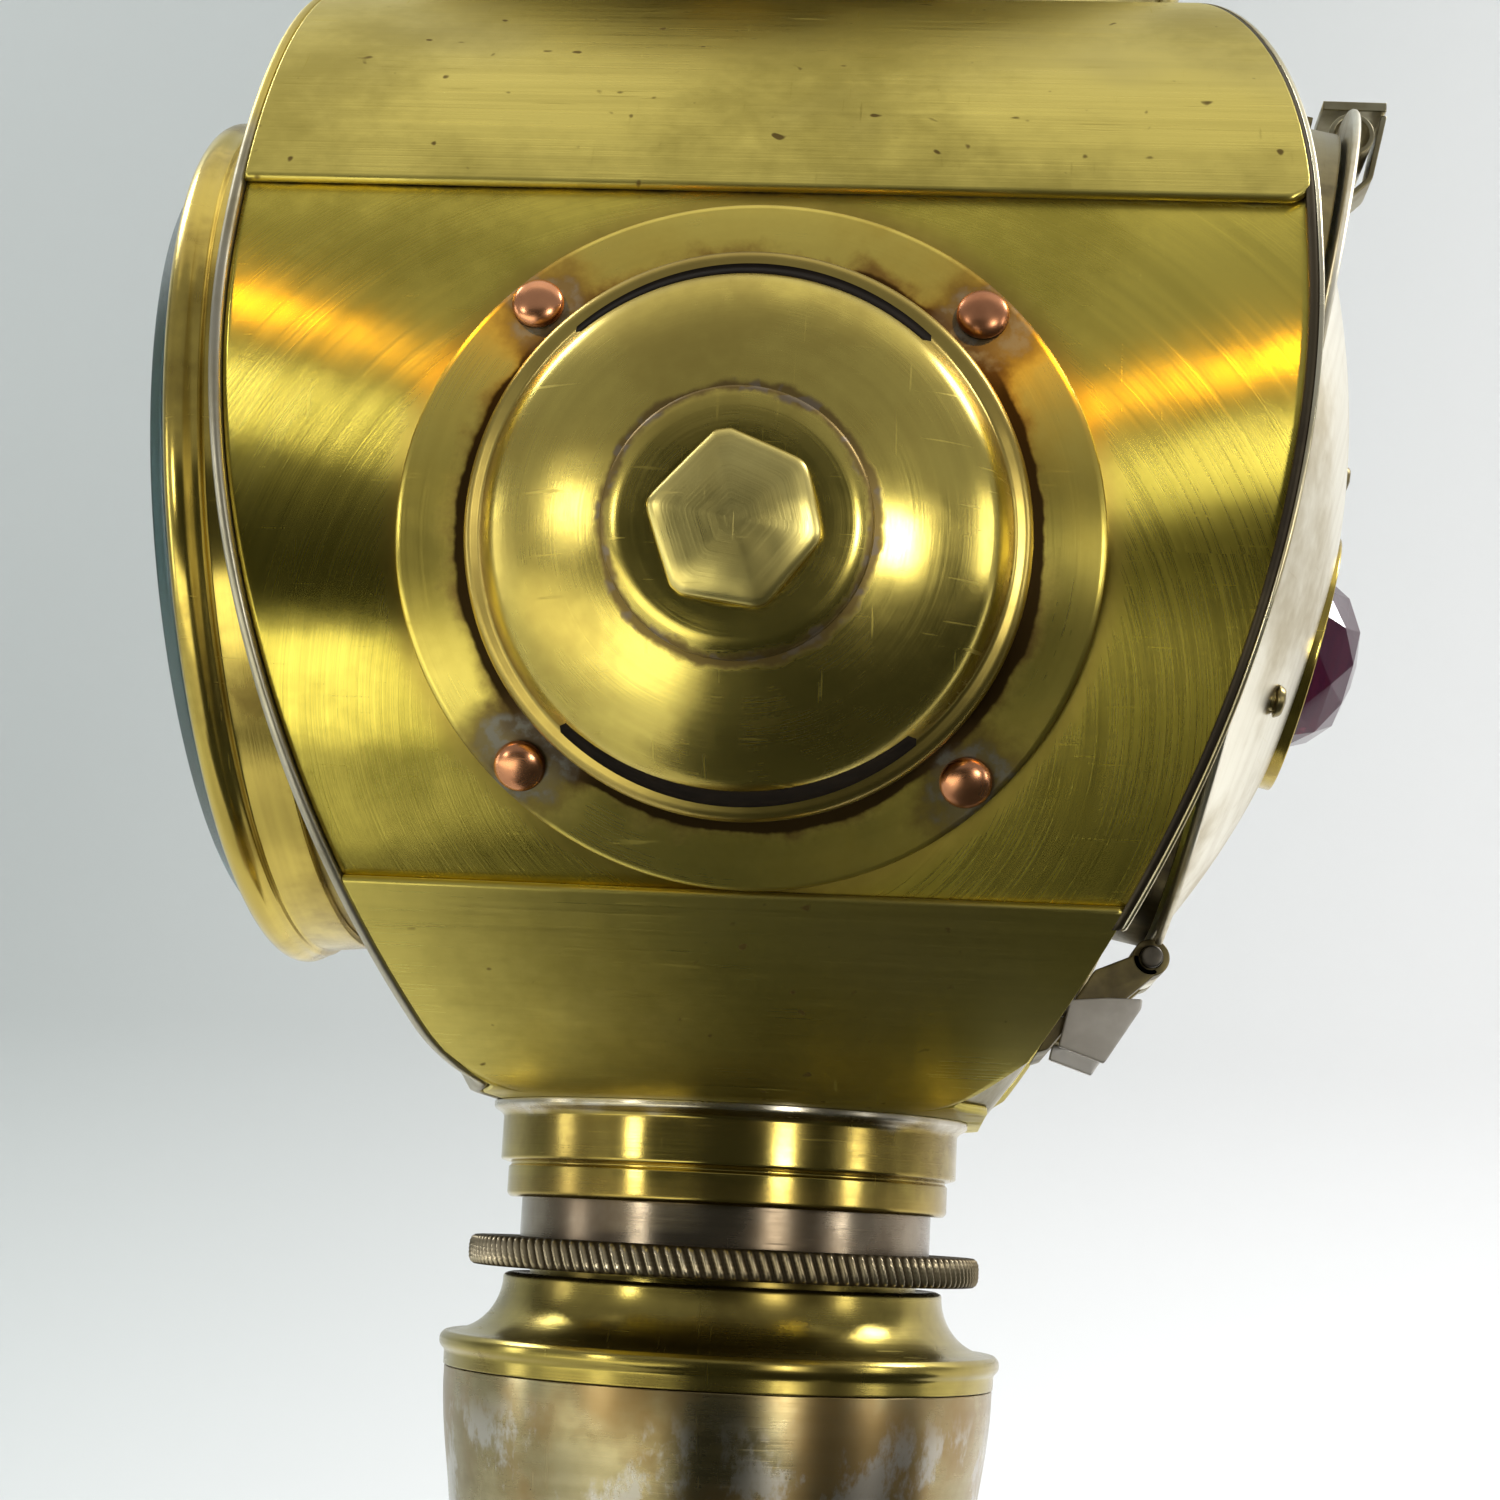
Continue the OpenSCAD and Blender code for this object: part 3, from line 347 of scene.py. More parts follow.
def worn_metal(name, light, dull, rough, pull, grain, scars, marks=None, dents=1.0):
    """Hand polished sheet metal. Slow noise mixes the clean and the tarnished colour, fine noise drawn out
    along the grain gives the polish lines, and thin crossing lines are the scratches of handling.
    marks(tree, place) adds stains: it returns a list of (amount, colour, roughness)."""
    paint, tree, shader, where = new_paint(name)
    lines = node(tree, "UVMap", {}, uv_map="grain").outputs[0]
    polish = noise(tree, lines, 1.0, 3.0, (50, 8000, 1), rough=0.7)
    broad = noise(tree, lines, 1.0, 2.0, (40, 900, 1))
    speckle = times(tree, noise(tree, where, 1400.0, 2.0), 0.12)
    stain = fade(tree, plus(tree, noise(tree, where, 85.0, 4.0), speckle), 0.46, 0.74)
    colour = blend_colour(tree, stain, light, dull)
    colour = blend_colour(tree, times(tree, fade(tree, broad, 0.40, 0.70), 0.30), colour, dull)
    cuts = 0.0
    for stretch, turned_by, least in (((260, 260, 5200), (0.5, 0.35, 0.2), 0.72),
                                      ((5200, 300, 300), (0.2, -0.5, 0.4), 0.73),
                                      ((240, 240, 6000), (-0.4, -0.7, 0.1), 0.72)):
        scratch = noise(tree, where, 1.0, 1.0, stretch, turned_by, 0.4)
        cuts = number(tree, "MAXIMUM", cuts, fade(tree, scratch, least, least + 0.08))
    roughness = plus(tree, rough[0], times(tree, stain, rough[1] - rough[0]))
    roughness = plus(tree, roughness, times(tree, minus(tree, polish, 0.5), 0.22 * grain))
    roughness = plus(tree, roughness, times(tree, cuts, 0.25 * scars))
    for amount, tint, matt in (marks(tree, where) if marks else []):
        colour = blend_colour(tree, amount, colour, tint)
        roughness = plus(tree, roughness, times(tree, minus(tree, matt, roughness), amount))
    wave = times(tree, noise(tree, where, 170.0, 2.0), 7.0 * dents)
    height = plus(tree, times(tree, polish, grain), wave)
    bump = node(tree, "Bump", {"Strength": 0.60, "Distance": 0.000012, "Height": height})
    along = node(tree, "Tangent", {}, direction_type="UV_MAP", uv_map="grain")
    fill(tree, shader, {"Base Color": colour, "Roughness": roughness, "Metallic": 1.0, "Anisotropic": pull,
                        "Anisotropic Rotation": 0.25, "Normal": bump.outputs[0], "Tangent": along.outputs[0]})
    return paint


def vent_axes(side):
    """Foot point, outward axis and upward axis of a ventilator."""
    c, s = np.cos(VENT_DOWN), np.sin(VENT_DOWN)
    return np.array([VENT_X, 0.0, DRUM]), np.array([0.0, side * c, -s]), np.array([0.0, side * s, c])


def parts(tree, where):
    """The three coordinates of a place."""
    return node(tree, "SeparateXYZ", {0: where}).outputs


def off_axis(tree, where, at, axis):
    """Distance from a line through a point: the length of the cross product with its direction."""
    return vector(tree, "LENGTH", vector(tree, "CROSS_PRODUCT", vector(tree, "SUBTRACT", where, at), axis))


def near_place(tree, where):
    """Place mirrored to the near side of the lamp: (x, -|y|, z)."""
    x, y, z = parts(tree, where)
    return node(tree, "CombineXYZ",
                {0: x, 1: times(tree, number(tree, "ABSOLUTE", y), -1.0), 2: z}).outputs[0]


def from_vent(tree, where):
    """Distance from the nearer ventilator's axis, in metres."""
    at, out, _ = vent_axes(-1)
    return off_axis(tree, near_place(tree, where), at * MM, out)


def side_marks(tree, where):
    """Dark band along the two lapped seams, and brown heat stain outside the ventilator flange."""
    z = minus(tree, parts(tree, where)[2], DRUM * MM)
    wander = times(tree, noise(tree, where, 500.0), 0.0005)
    upper = fade(tree, plus(tree, z, wander), 0.01205, 0.0124)
    lower = fade(tree, minus(tree, z, wander), -0.02065, -0.0210)
    halo = times(tree, fade(tree, minus(tree, from_vent(tree, where), wander), 0.0174, 0.0158), 0.45)
    return [(halo, (0.30, 0.18, 0.05), 0.42),
            (number(tree, "MAXIMUM", upper, lower), (0.10, 0.08, 0.04), 0.55)]


side_brass = worn_metal("side_sheet_brass", (0.78, 0.63, 0.11), (0.48, 0.39, 0.06), (0.22, 0.29),
                        0.95, 1.0, 0.15, side_marks)


def side_sheet(side):
    """Sheet on the drum's round side: flat place (p, q) goes to x = p at the angle q / radius from level."""
    centre = (VENT_X, -SIDE_R * VENT_DOWN)
    low, top = -SIDE_R * SIDE_LOW, SIDE_R * SIDE_TOP

    def inside(p, q):
        z = SIDE_R * np.sin(q / SIDE_R)
        return (p > front_edge(z)) & (p < rear_edge(z)) & (q > low) & (q < top)

    def place(p, q, h):
        a = q / SIDE_R
        return np.stack([p, side * (SIDE_R + h) * np.cos(a), DRUM + (SIDE_R + h) * np.sin(a)], -1)

    corners = [(f(SIDE_R * np.sin(q / SIDE_R)), q) for q in (low, top) for f in (front_edge, rear_edge)]
    angles = directions(420, centre, corners)
    hole = np.stack([centre[0] + VENT_HOLE * np.cos(angles),
                     centre[1] + SIDE_R * np.arcsin(VENT_HOLE * np.sin(angles) / SIDE_R)], 1)
    return pierced(hole, reach(inside, centre, angles), place, SHEET, 30, grain_drop=GRAIN_DROP)


for word, side in (("near", -1), ("far", 1)):
    sheet = shaped(word + "_side_skin", side_sheet(side), side_brass, "brass_sheet", "head",
                   word + "_side_sheet")
    for pieces in (warm_pieces, sheets_only, all_but_sheets):
        pieces.objects.link(sheet)
for member in all_but_sheets.collection_objects:
    member.light_linking.link_state = "EXCLUDE"

# Roof saddle. One brass sheet bent over the drum and lapped down over both
# side sheets, brushed lengthwise, with the chimney hole at its top.
SADDLE_R, ROOF_LAP, ROOF_CORNER, ROOF_HOLE = 33.32, np.radians(68.6), 1.1, 8.8


def saddle_marks(tree, where):
    """Small brown pits, and a slow bloom of paler, rubbed metal."""
    pits = times(tree, fade(tree, noise(tree, where, 1300.0, 0.0), 0.79, 0.86), 0.8)
    bloom = times(tree, fade(tree, noise(tree, where, 45.0), 0.52, 0.72), 0.45)
    return [(bloom, (0.50, 0.42, 0.16), 0.45), (pits, (0.16, 0.09, 0.03), 0.6)]


saddle_brass = worn_metal("saddle_brass", (0.72, 0.59, 0.14), (0.52, 0.42, 0.09), (0.30, 0.40),
                          0.80, 1.4, 0.5, saddle_marks)


def roof_sheet():
    """Sheet round the drum's top: flat place (p, q) goes to x = p at the angle q / radius from the crown."""
    r, half = ROOF_CORNER, SADDLE_R * ROOF_LAP

    def inside(p, q):
        z = SADDLE_R * np.cos(q / SADDLE_R)
        at_corner = (p > rear_edge(z) - r) & (np.abs(q) > half - r)
        off = np.hypot(p - (rear_edge(z) - r), np.abs(q) - (half - r))
        return (p > front_edge(z)) & (p < rear_edge(z)) & (np.abs(q) < half) & ~(at_corner & (off > r))

    def place(p, q, h):
        a = q / SADDLE_R
        return np.stack([p, (SADDLE_R + h) * np.sin(a), DRUM + (SADDLE_R + h) * np.cos(a)], -1)

    z_low = SADDLE_R * np.cos(half / SADDLE_R)
    corners = [(front_edge(z_low), q) for q in (-half, half)]
    corners += [(rear_edge(z_low) - r * (1 - np.sin(a)), s * (half - r * (1 - np.cos(a))))
                for s in (-1, 1) for a in np.radians([0, 20, 45, 70, 90])]
    angles = directions(540, (0, 0), corners)
    hole = np.stack([ROOF_HOLE * np.cos(angles),
                     SADDLE_R * np.arcsin(ROOF_HOLE * np.sin(angles) / SADDLE_R)], 1)
    return pierced(hole, reach(inside, (0, 0), angles), place, SHEET, 34, straight=True)


shaped("roof_skin", roof_sheet(), saddle_brass, "brass_sheet", "head", "roof_saddle")

# Bottom saddle. The same sheet under the drum, bent flat in the middle where
# the neck is soldered in, with two soft bends along it.
UNDER_DROP, BEND_AT, BEND_PULL, NECK_HOLE = 29.7, 15.1, 5.0, 11.9
FRONT_PULL, REAR_PULL, AVERAGED, UNDER_LAP = 1.3, 2.2, 81, np.radians(38.5)


def corner_pull(y, z, most):
    """How far the soft bends round off an end: most at a bend, less with the square of the distance."""
    return most * np.clip(1 - np.hypot(np.abs(y) - BEND_AT, z + UNDER_DROP) / BEND_PULL, 0, 1) ** 2


def averaged(values):
    """Mean of each value and its neighbours, with the end values repeated beyond the ends."""
    beyond = AVERAGED // 2
    held = np.concatenate([values[:1].repeat(beyond), values, values[-1:].repeat(beyond)])
    return np.convolve(held, np.ones(AVERAGED) / AVERAGED, "valid")


def under_section():
    """Section of the underside: a flat between two arcs of the saddle's radius, averaged over 4 mm at bends.
    Returns the run along it, the points (y, z) and the outward normals."""
    half = np.sqrt(SADDLE_R ** 2 - UNDER_DROP ** 2)
    run = np.linspace(-31.5, 31.5, 1261)
    beyond = np.maximum(np.abs(run) - half, 0) / SADDLE_R
    low = np.arcsin(UNDER_DROP / SADDLE_R) - beyond
    y = averaged(np.where(beyond > 0, np.sign(run) * SADDLE_R * np.cos(low), run))
    z = averaged(np.where(beyond > 0, -SADDLE_R * np.sin(low), -UNDER_DROP))
    dy, dz = np.gradient(y), np.gradient(z)
    size = np.hypot(dy, dz)
    return run, y, z, dz / size, -dy / size


def bottom_sheet():
    """Sheet on the under section: flat place (p, q) goes to x = p at run q."""
    run, y, z, ny, nz = under_section()
    half = (np.sqrt(SADDLE_R ** 2 - UNDER_DROP ** 2)
            + SADDLE_R * (np.arcsin(UNDER_DROP / SADDLE_R) - UNDER_LAP))

    def inside(p, q):
        high, wide = np.interp(q, run, z), np.interp(q, run, y)
        front = front_edge(high) + corner_pull(wide, high, FRONT_PULL)
        rear = rear_edge(high) - corner_pull(wide, high, REAR_PULL)
        return (p > front) & (p < rear) & (np.abs(q) < half)

    def place(p, q, h):
        return np.stack([p, np.interp(q, run, y) + h * np.interp(q, run, ny),
                         DRUM + np.interp(q, run, z) + h * np.interp(q, run, nz)], -1)

    z_top = np.interp(half, run, z)
    corners = [(f(z_top), s * half) for f in (front_edge, rear_edge) for s in (-1, 1)]
    angles = directions(540, (0, 0), corners)
    hole = NECK_HOLE * np.stack([np.cos(angles), np.sin(angles)], 1)
    return pierced(hole, reach(inside, (0, 0), angles), place, SHEET, 30, 0.08, straight=True)


shaped("bottom_skin", bottom_sheet(), saddle_brass, "brass_sheet", "head", "bottom_saddle")

# Front and rear plates. Two tinned plates close the drum's ends, soldered in
# all round; the front one stands a little proud of the sheets.
SIDEWAYS = np.array([0.0, 1.0, 0.0])


def leaning(at, tilt, way):
    """Middle, outward and upward axis of a round part that faces front (-1) or rear (1) and looks down."""
    c, s = np.cos(np.radians(tilt)), np.sin(np.radians(tilt))
    return np.array(at, float), np.array([way * c, 0.0, -s]), np.array([way * s, 0.0, c])


LENS, DOOR = leaning([-27.2, 0.0, 98.0], 5.6, -1), leaning([27.5, 0.0, 99.7], 11.5, 1)
PLATE_ANGLES = full_turn(540)


def collar_cut(at, out, up, radius, angles, edge):
    """Where a round collar meets an end of the drum: each point slides along the axis to the edge's x."""
    ring = at + radius * (np.cos(angles)[:, None] * SIDEWAYS + np.sin(angles)[:, None] * up)
    slide = np.zeros(len(angles))
    for _ in range(12):
        slide = (edge(ring[:, 2] + slide * out[2] - DRUM) - ring[:, 0]) / out[0]
    return ring + slide[:, None] * out, slide


def plate_marks(tree, where):
    """Brass laid bare along the outer rim of the upper half, where the roof's lap has been rubbed clean."""
    rim = fade(tree, off_axis(tree, where, (0.0, 0.0, DRUM * MM), (1.0, 0.0, 0.0)), 0.0322, 0.0327)
    upper = fade(tree, minus(tree, parts(tree, where)[2], DRUM * MM), 0.0140, 0.0175)
    return [(times(tree, rim, upper), (0.60, 0.47, 0.11), 0.4)]


tinned = worn_metal("tinned_plate", (0.52, 0.48, 0.37), (0.28, 0.24, 0.14), (0.35, 0.55),
                    0.2, 0.4, 0.4, plate_marks)


def end_plate(axes, collar_r, edge, radius, drop, face):
    """Plate between the collar's cut and the drum's round section with its flat underneath.
    Flat places are (y, z), and face gives their x."""
    hole = collar_cut(*axes, collar_r, PLATE_ANGLES, edge)[0][:, 1:] - np.array([0, DRUM])
    around = np.arctan2(hole[:, 1] - 2.0, hole[:, 0])
    _, soft_y, soft_z, _, _ = under_section()

    def inside(p, q):
        return (np.hypot(p, q) < radius) & (q > np.interp(p, soft_y, soft_z) + UNDER_DROP - drop)

    def place(p, q, h):
        return np.stack([face(p, q, h), p, DRUM + q], -1)

    return pierced(hole, reach(inside, (0.0, 2.0), around), place, SHEET, 10)


front_plate = end_plate(LENS, 23.22, lambda z: front_edge(z, 0.3), SADDLE_R, UNDER_DROP,
                        lambda y, z, h: front_edge(z, 0.52 + h) + corner_pull(y, z, FRONT_PULL))
shaped("front_plate_skin", front_plate, tinned, "tinned_sheet", "head", "front_plate")
rear_plate = end_plate(DOOR, 23.52, lambda z: rear_edge(z, -0.5), 32.28, 29.18,
                       lambda y, z, h: rear_edge(z, -0.25 + h) - corner_pull(y, z, REAR_PULL + 0.2))
shaped("rear_plate_skin", rear_plate, tinned, "tinned_sheet", "head", "rear_plate")


def end_rim(first, last):
    """Tinned edge left standing round the rear end above the hinge: a small section carried along the drum's
    round outline, from first to last ahead of the sheets' cut, its ends drawn in to points."""
    a = np.radians(np.linspace(-41, 221, 400))
    r = np.array([33.30, 33.30, 33.22, 32.45, 32.35, 32.35])
    x = np.array([first, last - 0.08, last, last, last - 0.08, first])
    y, z = r * np.cos(a)[:, None], r * np.sin(a)[:, None]
    rim = np.stack([rear_edge(z) + x, y, DRUM + z], -1)
    rim[0], rim[-1] = rim[0].mean(0), rim[-1].mean(0)
    return rim


# The near black strip ahead of the tinned rim is painted shade of the gap between the sheets' cut and the
# rim.
rim_gap_shade_paint = worn_metal("rim_gap_painted_shade", (0.10, 0.08, 0.05), (0.05, 0.04, 0.03), (0.5, 0.6), 0.0, 0.2, 0.1)
rim_tin = worn_metal("rim_tin", (0.74, 0.68, 0.50), (0.48, 0.40, 0.22), (0.24, 0.34), 0.3, 0.3, 0.3)
shaped("rear_rim_gap_shade", end_rim(-0.25, 0.17), rim_gap_shade_paint, "tinned_sheet", "head", open_ends=True)
shaped("rear_rim", end_rim(0.18, 0.42), rim_tin, "tinned_sheet", "head", open_ends=True)

# Front collar, bezel and retaining ring. A short brass tube carries the lens
# ahead of the drum; the bezel is a turned ring with a round bead.


def eased(outline):
    """Closed outline of corners (r, h, e), each replaced by a short parabola of length e that is held by a
    point before and after it."""
    points, count = [], len(outline)
    for i, (r, h, e) in enumerate(outline):
        here = np.array([r, h], float)
        if not e:
            points.append(here)
            continue
        back = np.array(outline[i - 1][:2]) - here
        on = np.array(outline[(i + 1) % count][:2]) - here
        lb, lo = np.linalg.norm(back), np.linalg.norm(on)
        cut = min(e, 0.4 * lb, 0.4 * lo)
        points.append(here + back / lb * min(2.2 * cut, 0.49 * lb))
        first, last = here + back / lb * cut, here + on / lo * cut
        points += [(1 - t) ** 2 * first + 2 * t * (1 - t) * here + t * t * last
                   for t in (0, 0.25, 0.5, 0.75, 1)]
        points.append(here + on / lo * min(2.2 * cut, 0.49 * lo))
    return np.array(points)


def turned(outline, at=(0, 0, 0), out=(0, 0, 1), up=(1, 0, 0), steps=256):
    """Eased outline (r, h) carried round the axis: at + h out + r (cos a up + sin a side)."""
    outline = eased(outline)
    at, out, up = (np.array(v, float) for v in (at, out, up))
    a = full_turn(steps)
    ring = np.cos(a)[:, None] * up + np.sin(a)[:, None] * np.cross(out, up)
    return at + outline[None, :, 1:2] * out + outline[None, :, :1] * ring[:, None, :]


def arc(middle, radius, angles):
    """Corners (r, h) on a circle, left as they are."""
    return [(middle[0] + radius * np.cos(a), middle[1] + radius * np.sin(a), 0) for a in np.radians(angles)]


def tube_to_edge(at, out, up, outer, start, edge):
    """Collar wall from a height over its plane down to the drum's end, where it follows the drum's edge."""
    angles = PLATE_ANGLES[::2]
    end = collar_cut(at, out, up, outer, angles, edge)[1]
    run = start + (end - start)[:, None] * np.array([0.0, 0.01, 0.03, 0.97, 1.0])
    h = np.concatenate([run, run[:, ::-1]], 1)
    inner = outer - SHEET
    r = np.concatenate([[outer - 0.08], np.full(4, outer), np.full(4, inner), [inner + 0.08]])
    ring = np.cos(angles)[:, None] * SIDEWAYS + np.sin(angles)[:, None] * up
    return at + h[:, :, None] * out + r[None, :, None] * ring[:, None, :]


collar_brass = worn_metal("collar_brass", (0.44, 0.34, 0.09), (0.18, 0.13, 0.04), (0.26, 0.42),
                          0.55, 0.5, 0.4)
bezel_brass = worn_metal("bezel_brass", (0.66, 0.50, 0.11), (0.26, 0.18, 0.04), (0.18, 0.32), 0.5, 0.4, 0.4)
front_tube = tube_to_edge(*LENS, 23.2, -0.65, lambda z: front_edge(z, -0.6))
shaped("front_collar_skin", front_tube, collar_brass, "brass_sheet", "head", "front_collar")
bead = arc((23.4, 0.3), 0.9, np.linspace(-52, 232, 26)[1:-1])
bezel = [(23.22, -3.4, 0.1), (23.72, -3.4, 0.15), (23.72, -0.9, 0.1), (24.0, -0.75, 0.1), *bead,
         (22.9, -0.6, 0.1), (23.22, -0.7, 0.1)]
shaped("bezel_skin", turned(bezel, *LENS), bezel_brass, "brass_sheet", "head", "bezel")
lens_ring = [(21.0, -2.3, 0.1), (22.65, -2.3, 0.1), (22.65, -1.45, 0.1), (21.0, -1.45, 0.1)]
shaped("lens_ring_skin", turned(lens_ring, *LENS), collar_brass, "brass_sheet", "head", "lens_ring")

# Lens. A thick disc of blue green window glass, its front edge ground to a
# wide bevel that stands out of the bezel.


def clear_glass(name, colour, clearness, rough, edge=None):
    """Tinted polished glass with faint ripples. edge(tree, place) is the amount of ground, darker edge."""
    paint, tree, shader, where = new_paint(name)
    ripples = noise(tree, where, 300.0, 2.0)
    bump = node(tree, "Bump", {"Strength": 0.08, "Distance": 0.00002, "Height": ripples})
    fill(tree, shader, {"Base Color": colour, "Roughness": rough, "Transmission Weight": clearness,
                        "IOR": 1.52, "Normal": bump.outputs[0]})
    if edge:
        amount = edge(tree, where)
        fill(tree, shader, {"Base Color": blend_colour(tree, amount, colour, (0.16, 0.34, 0.36)),
                            "Roughness": plus(tree, rough, times(tree, amount, 0.22))})
    return paint


def ground_edge(tree, where):
    """Amount of ground edge: distance from the lens's axis over 21.2 mm."""
    return fade(tree, off_axis(tree, where, LENS[0] * MM, LENS[1]), 0.0210, 0.0216)


lens_glass = clear_glass("lens_glass_tint", (0.75, 0.90, 0.90), 1.0, 0.02, ground_edge)
lens = [(0, -1.4, 0), (20.0, -1.4, 0), (22.6, -1.4, 0.12), (22.6, -0.2, 0.1), (22.3, -0.2, 0.03),
        (22.3, 1.6, 0.15), (21.4, 2.5, 0.15), (0, 2.5, 0)]
shaped("lens", turned(lens, *LENS), lens_glass, "lens", "head", "lens_glass")

# Rear collar and catch. A short tube that the door closes on, with a small
# lug at its top for the latch.
dark_brass = worn_metal("dark_brass", (0.30, 0.24, 0.10), (0.10, 0.08, 0.05), (0.35, 0.55), 0.3, 0.4, 0.3)
rear_tube = tube_to_edge(*DOOR, 23.5, -0.3, lambda z: rear_edge(z, -0.9))
shaped("rear_collar_skin", rear_tube, dark_brass, "brass_sheet", "head", "rear_collar")


def bar(path, width, t, at, out, up):
    """Flat strip of the given width bent along a path (s up, h out), t thick: an eased rectangle is carried
    along the path square to it, and both ends are drawn in to a point."""
    path = np.array(path, float)
    step = np.gradient(path, axis=0)
    step /= np.linalg.norm(step, axis=1)[:, None]
    square = np.stack([-step[:, 1], step[:, 0]], 1)
    section = eased([(x * width / 2, y * t / 2, 0.08) for x, y in ((-1, -1), (1, -1), (1, 1), (-1, 1))])
    flat = path[:, None, :] + section[None, :, 1:2] * square[:, None, :]
    y = np.broadcast_to(section[None, :, 0], flat.shape[:2])
    with_ends = [0, *range(len(path)), len(path) - 1]
    flat, y = flat[with_ends].copy(), y[with_ends].copy()
    for end in (0, -1):
        flat[end], y[end] = path[end], 0.0
    return np.array(at) + flat[..., :1] * up + flat[..., 1:2] * out + y[..., None] * SIDEWAYS


catch = bar([(s, -2.4) for s in (23.62, 23.8, 24.6, 25.2, 25.7)], 4.0, 1.8, *DOOR)
shaped("catch_skin", catch, dark_brass, "brass_sheet", "head", "catch_lug", open_ends=True)

# Door. A thin white metal disc pressed to a shallow dome, with a hole for the
# jewel, an eye rolled round the hinge pin and a loop rolled at its top.
DOME_HALF_WIDTH, DOME_RISE, DOME_DROP = 21.0, 5.4, 2.5
DOME_R = (DOME_HALF_WIDTH ** 2 + DOME_RISE ** 2) / (2 * DOME_RISE) + 0.18
JEWEL_DROP, DOOR_R, DOOR_T, DOOR_RIM = 5.8, 25.0, 0.4, 0.4


def door_point(y, s, h=0.0):
    """Point y across, s up and h out from the middle of the door's plane."""
    at, out, up = DOOR
    return at + y * SIDEWAYS + s * up + h * out


def dome_lift(y, s):
    """Height of the door's outer face over its plane: a sphere's cap, a soft bend and a flat rim."""
    cap = DOME_RISE - DOME_R + np.sqrt(DOME_R ** 2 - np.minimum(np.hypot(y, s + DOME_DROP), 24.0) ** 2)
    return (cap + DOOR_RIM + np.sqrt((cap - DOOR_RIM) ** 2 + 0.03)) / 2 - 0.02


def door_disc(outline, hole_r, angles, lift, rings):
    """Disc on the door's plane between a round hole behind the jewel and an outline, raised by lift;
    flat places are (across, up)."""
    centre = (0.0, -JEWEL_DROP)
    hole = np.stack([hole_r * np.cos(angles), centre[1] + hole_r * np.sin(angles)], 1)

    def place(p, q, h):
        return door_point(p[..., None], q[..., None], (lift(p, q) + h)[..., None])

    return pierced(hole, reach(outline, centre, angles), place, DOOR_T, rings)


def door_outline(p, q):
    """Inside of the door's round rim, without the notches for the hinge and the loop."""
    notch = (np.abs(p) < 6.15) & (q < -23.4)
    top = (np.abs(p) < 3.0) & (q > 23.5)
    return (np.hypot(p, q) < DOOR_R) & ~notch & ~top


def arc_path(centre, radius, first, last, count):
    """Points (s, h) on a circle from one angle to another, in degrees from straight up towards outwards."""
    a = np.radians(np.linspace(first, last, count))
    return np.stack([centre[0] + radius * np.cos(a), centre[1] + radius * np.sin(a)], 1)


white_metal = worn_metal("door_white_metal", (0.88, 0.83, 0.68), (0.56, 0.48, 0.32), (0.30, 0.45),
                         0.35, 0.4, 0.5)
latch_metal = worn_metal("latch_metal", (0.46, 0.42, 0.28), (0.24, 0.20, 0.11), (0.28, 0.42), 0.3, 0.4, 0.5)
notch_corners = [(s * w, q) for s in (-1, 1)
                 for w, q in ((6.15, -23.4), (6.15, -24.23), (3.0, 23.5), (3.0, 24.8))]
door_angles = directions(540, (0.0, -JEWEL_DROP), notch_corners)
door_sheet = door_disc(door_outline, 7.45, door_angles, dome_lift, 40)
loop_path = np.concatenate([[(22.9, 0.2), (23.3, 0.2), (23.55, 0.16)],
                            arc_path((24.7, 0.81), 1.15, 205, 510, 34)])
eye_path = np.concatenate([[(-22.8, 0.2), (-23.4, 0.24)], arc_path((-24.8, 0.03), 0.83, 30, 330, 26)])
shaped("door_skin", door_sheet, white_metal, "white_metal", "door", "door_panel")
shaped("door_loop", bar(loop_path, 6.0, 0.3, *DOOR), latch_metal, "white_metal", "door", open_ends=True)
shaped("door_eye", bar(eye_path, 5.2, 0.32, *DOOR), white_metal, "white_metal", "door", open_ends=True)

# Hinge leaf and pin. A dark brass leaf soldered under the rear collar, with
# two eyes, a folded cheek at each end and a steel wire pin.
HINGE = door_point(0.0, -24.8, 0.03)
ARM_AT, CHEEK_AT, PIN_HALF = 4.2, 5.6, 6.2


def flat_plate(outline, y, width):
    """Plate cut to an outline of (x, z) corners and set across the lamp, its corners eased."""
    edge = eased([(x, z, 0.12) for x, z in outline])
    middle = edge.mean(0)
    shrink = np.array([0.0, 0.85, 0.95, 0.985, 1.0, 1.0, 0.985, 0.95, 0.85, 0.0])
    depth = np.array([-0.5, -0.5, -0.5, -0.49, -0.44, 0.44, 0.49, 0.5, 0.5, 0.5]) * width
    flat = middle + (edge[:, None, :] - middle) * shrink[None, :, None]
    return np.stack([flat[..., 0], y + np.broadcast_to(depth, flat.shape[:2]), DRUM + flat[..., 1]], -1)


foot_outline = [(16.6, -26.0), (17.2, -25.8), (18.6, -24.0), (17.7, -24.0)]
arm_outline = [(17.6, -24.6), (18.9, -25.0), (23.1, -21.3), (21.9, -20.4), (19.6, -21.4)]
cheek_outline = [(18.3, -23.1), (20.3, -22.9), (22.15, -22.9), (22.1, -23.4), (20.2, -26.4), (17.75, -25.6)]
eye_ring = [(0.62, -1.3, 0.05), (1.0, -1.3, 0.08), (1.0, 1.3, 0.08), (0.62, 1.3, 0.05)]
leaf = [flat_plate(foot_outline, 0.0, 11.2)]
for s in (-1, 1):
    leaf += [flat_plate(arm_outline, s * ARM_AT, 2.6),
             turned(eye_ring, HINGE + s * ARM_AT * SIDEWAYS, SIDEWAYS, DOOR[2], 40)]
shaped("hinge_leaf_skin", leaf, dark_brass, "dark_brass", "head", "hinge_leaf")
cheek_metal = worn_metal("hinge_cheek_metal", (0.70, 0.67, 0.64), (0.50, 0.46, 0.42), (0.45, 0.6),
                         0.1, 0.3, 0.3)
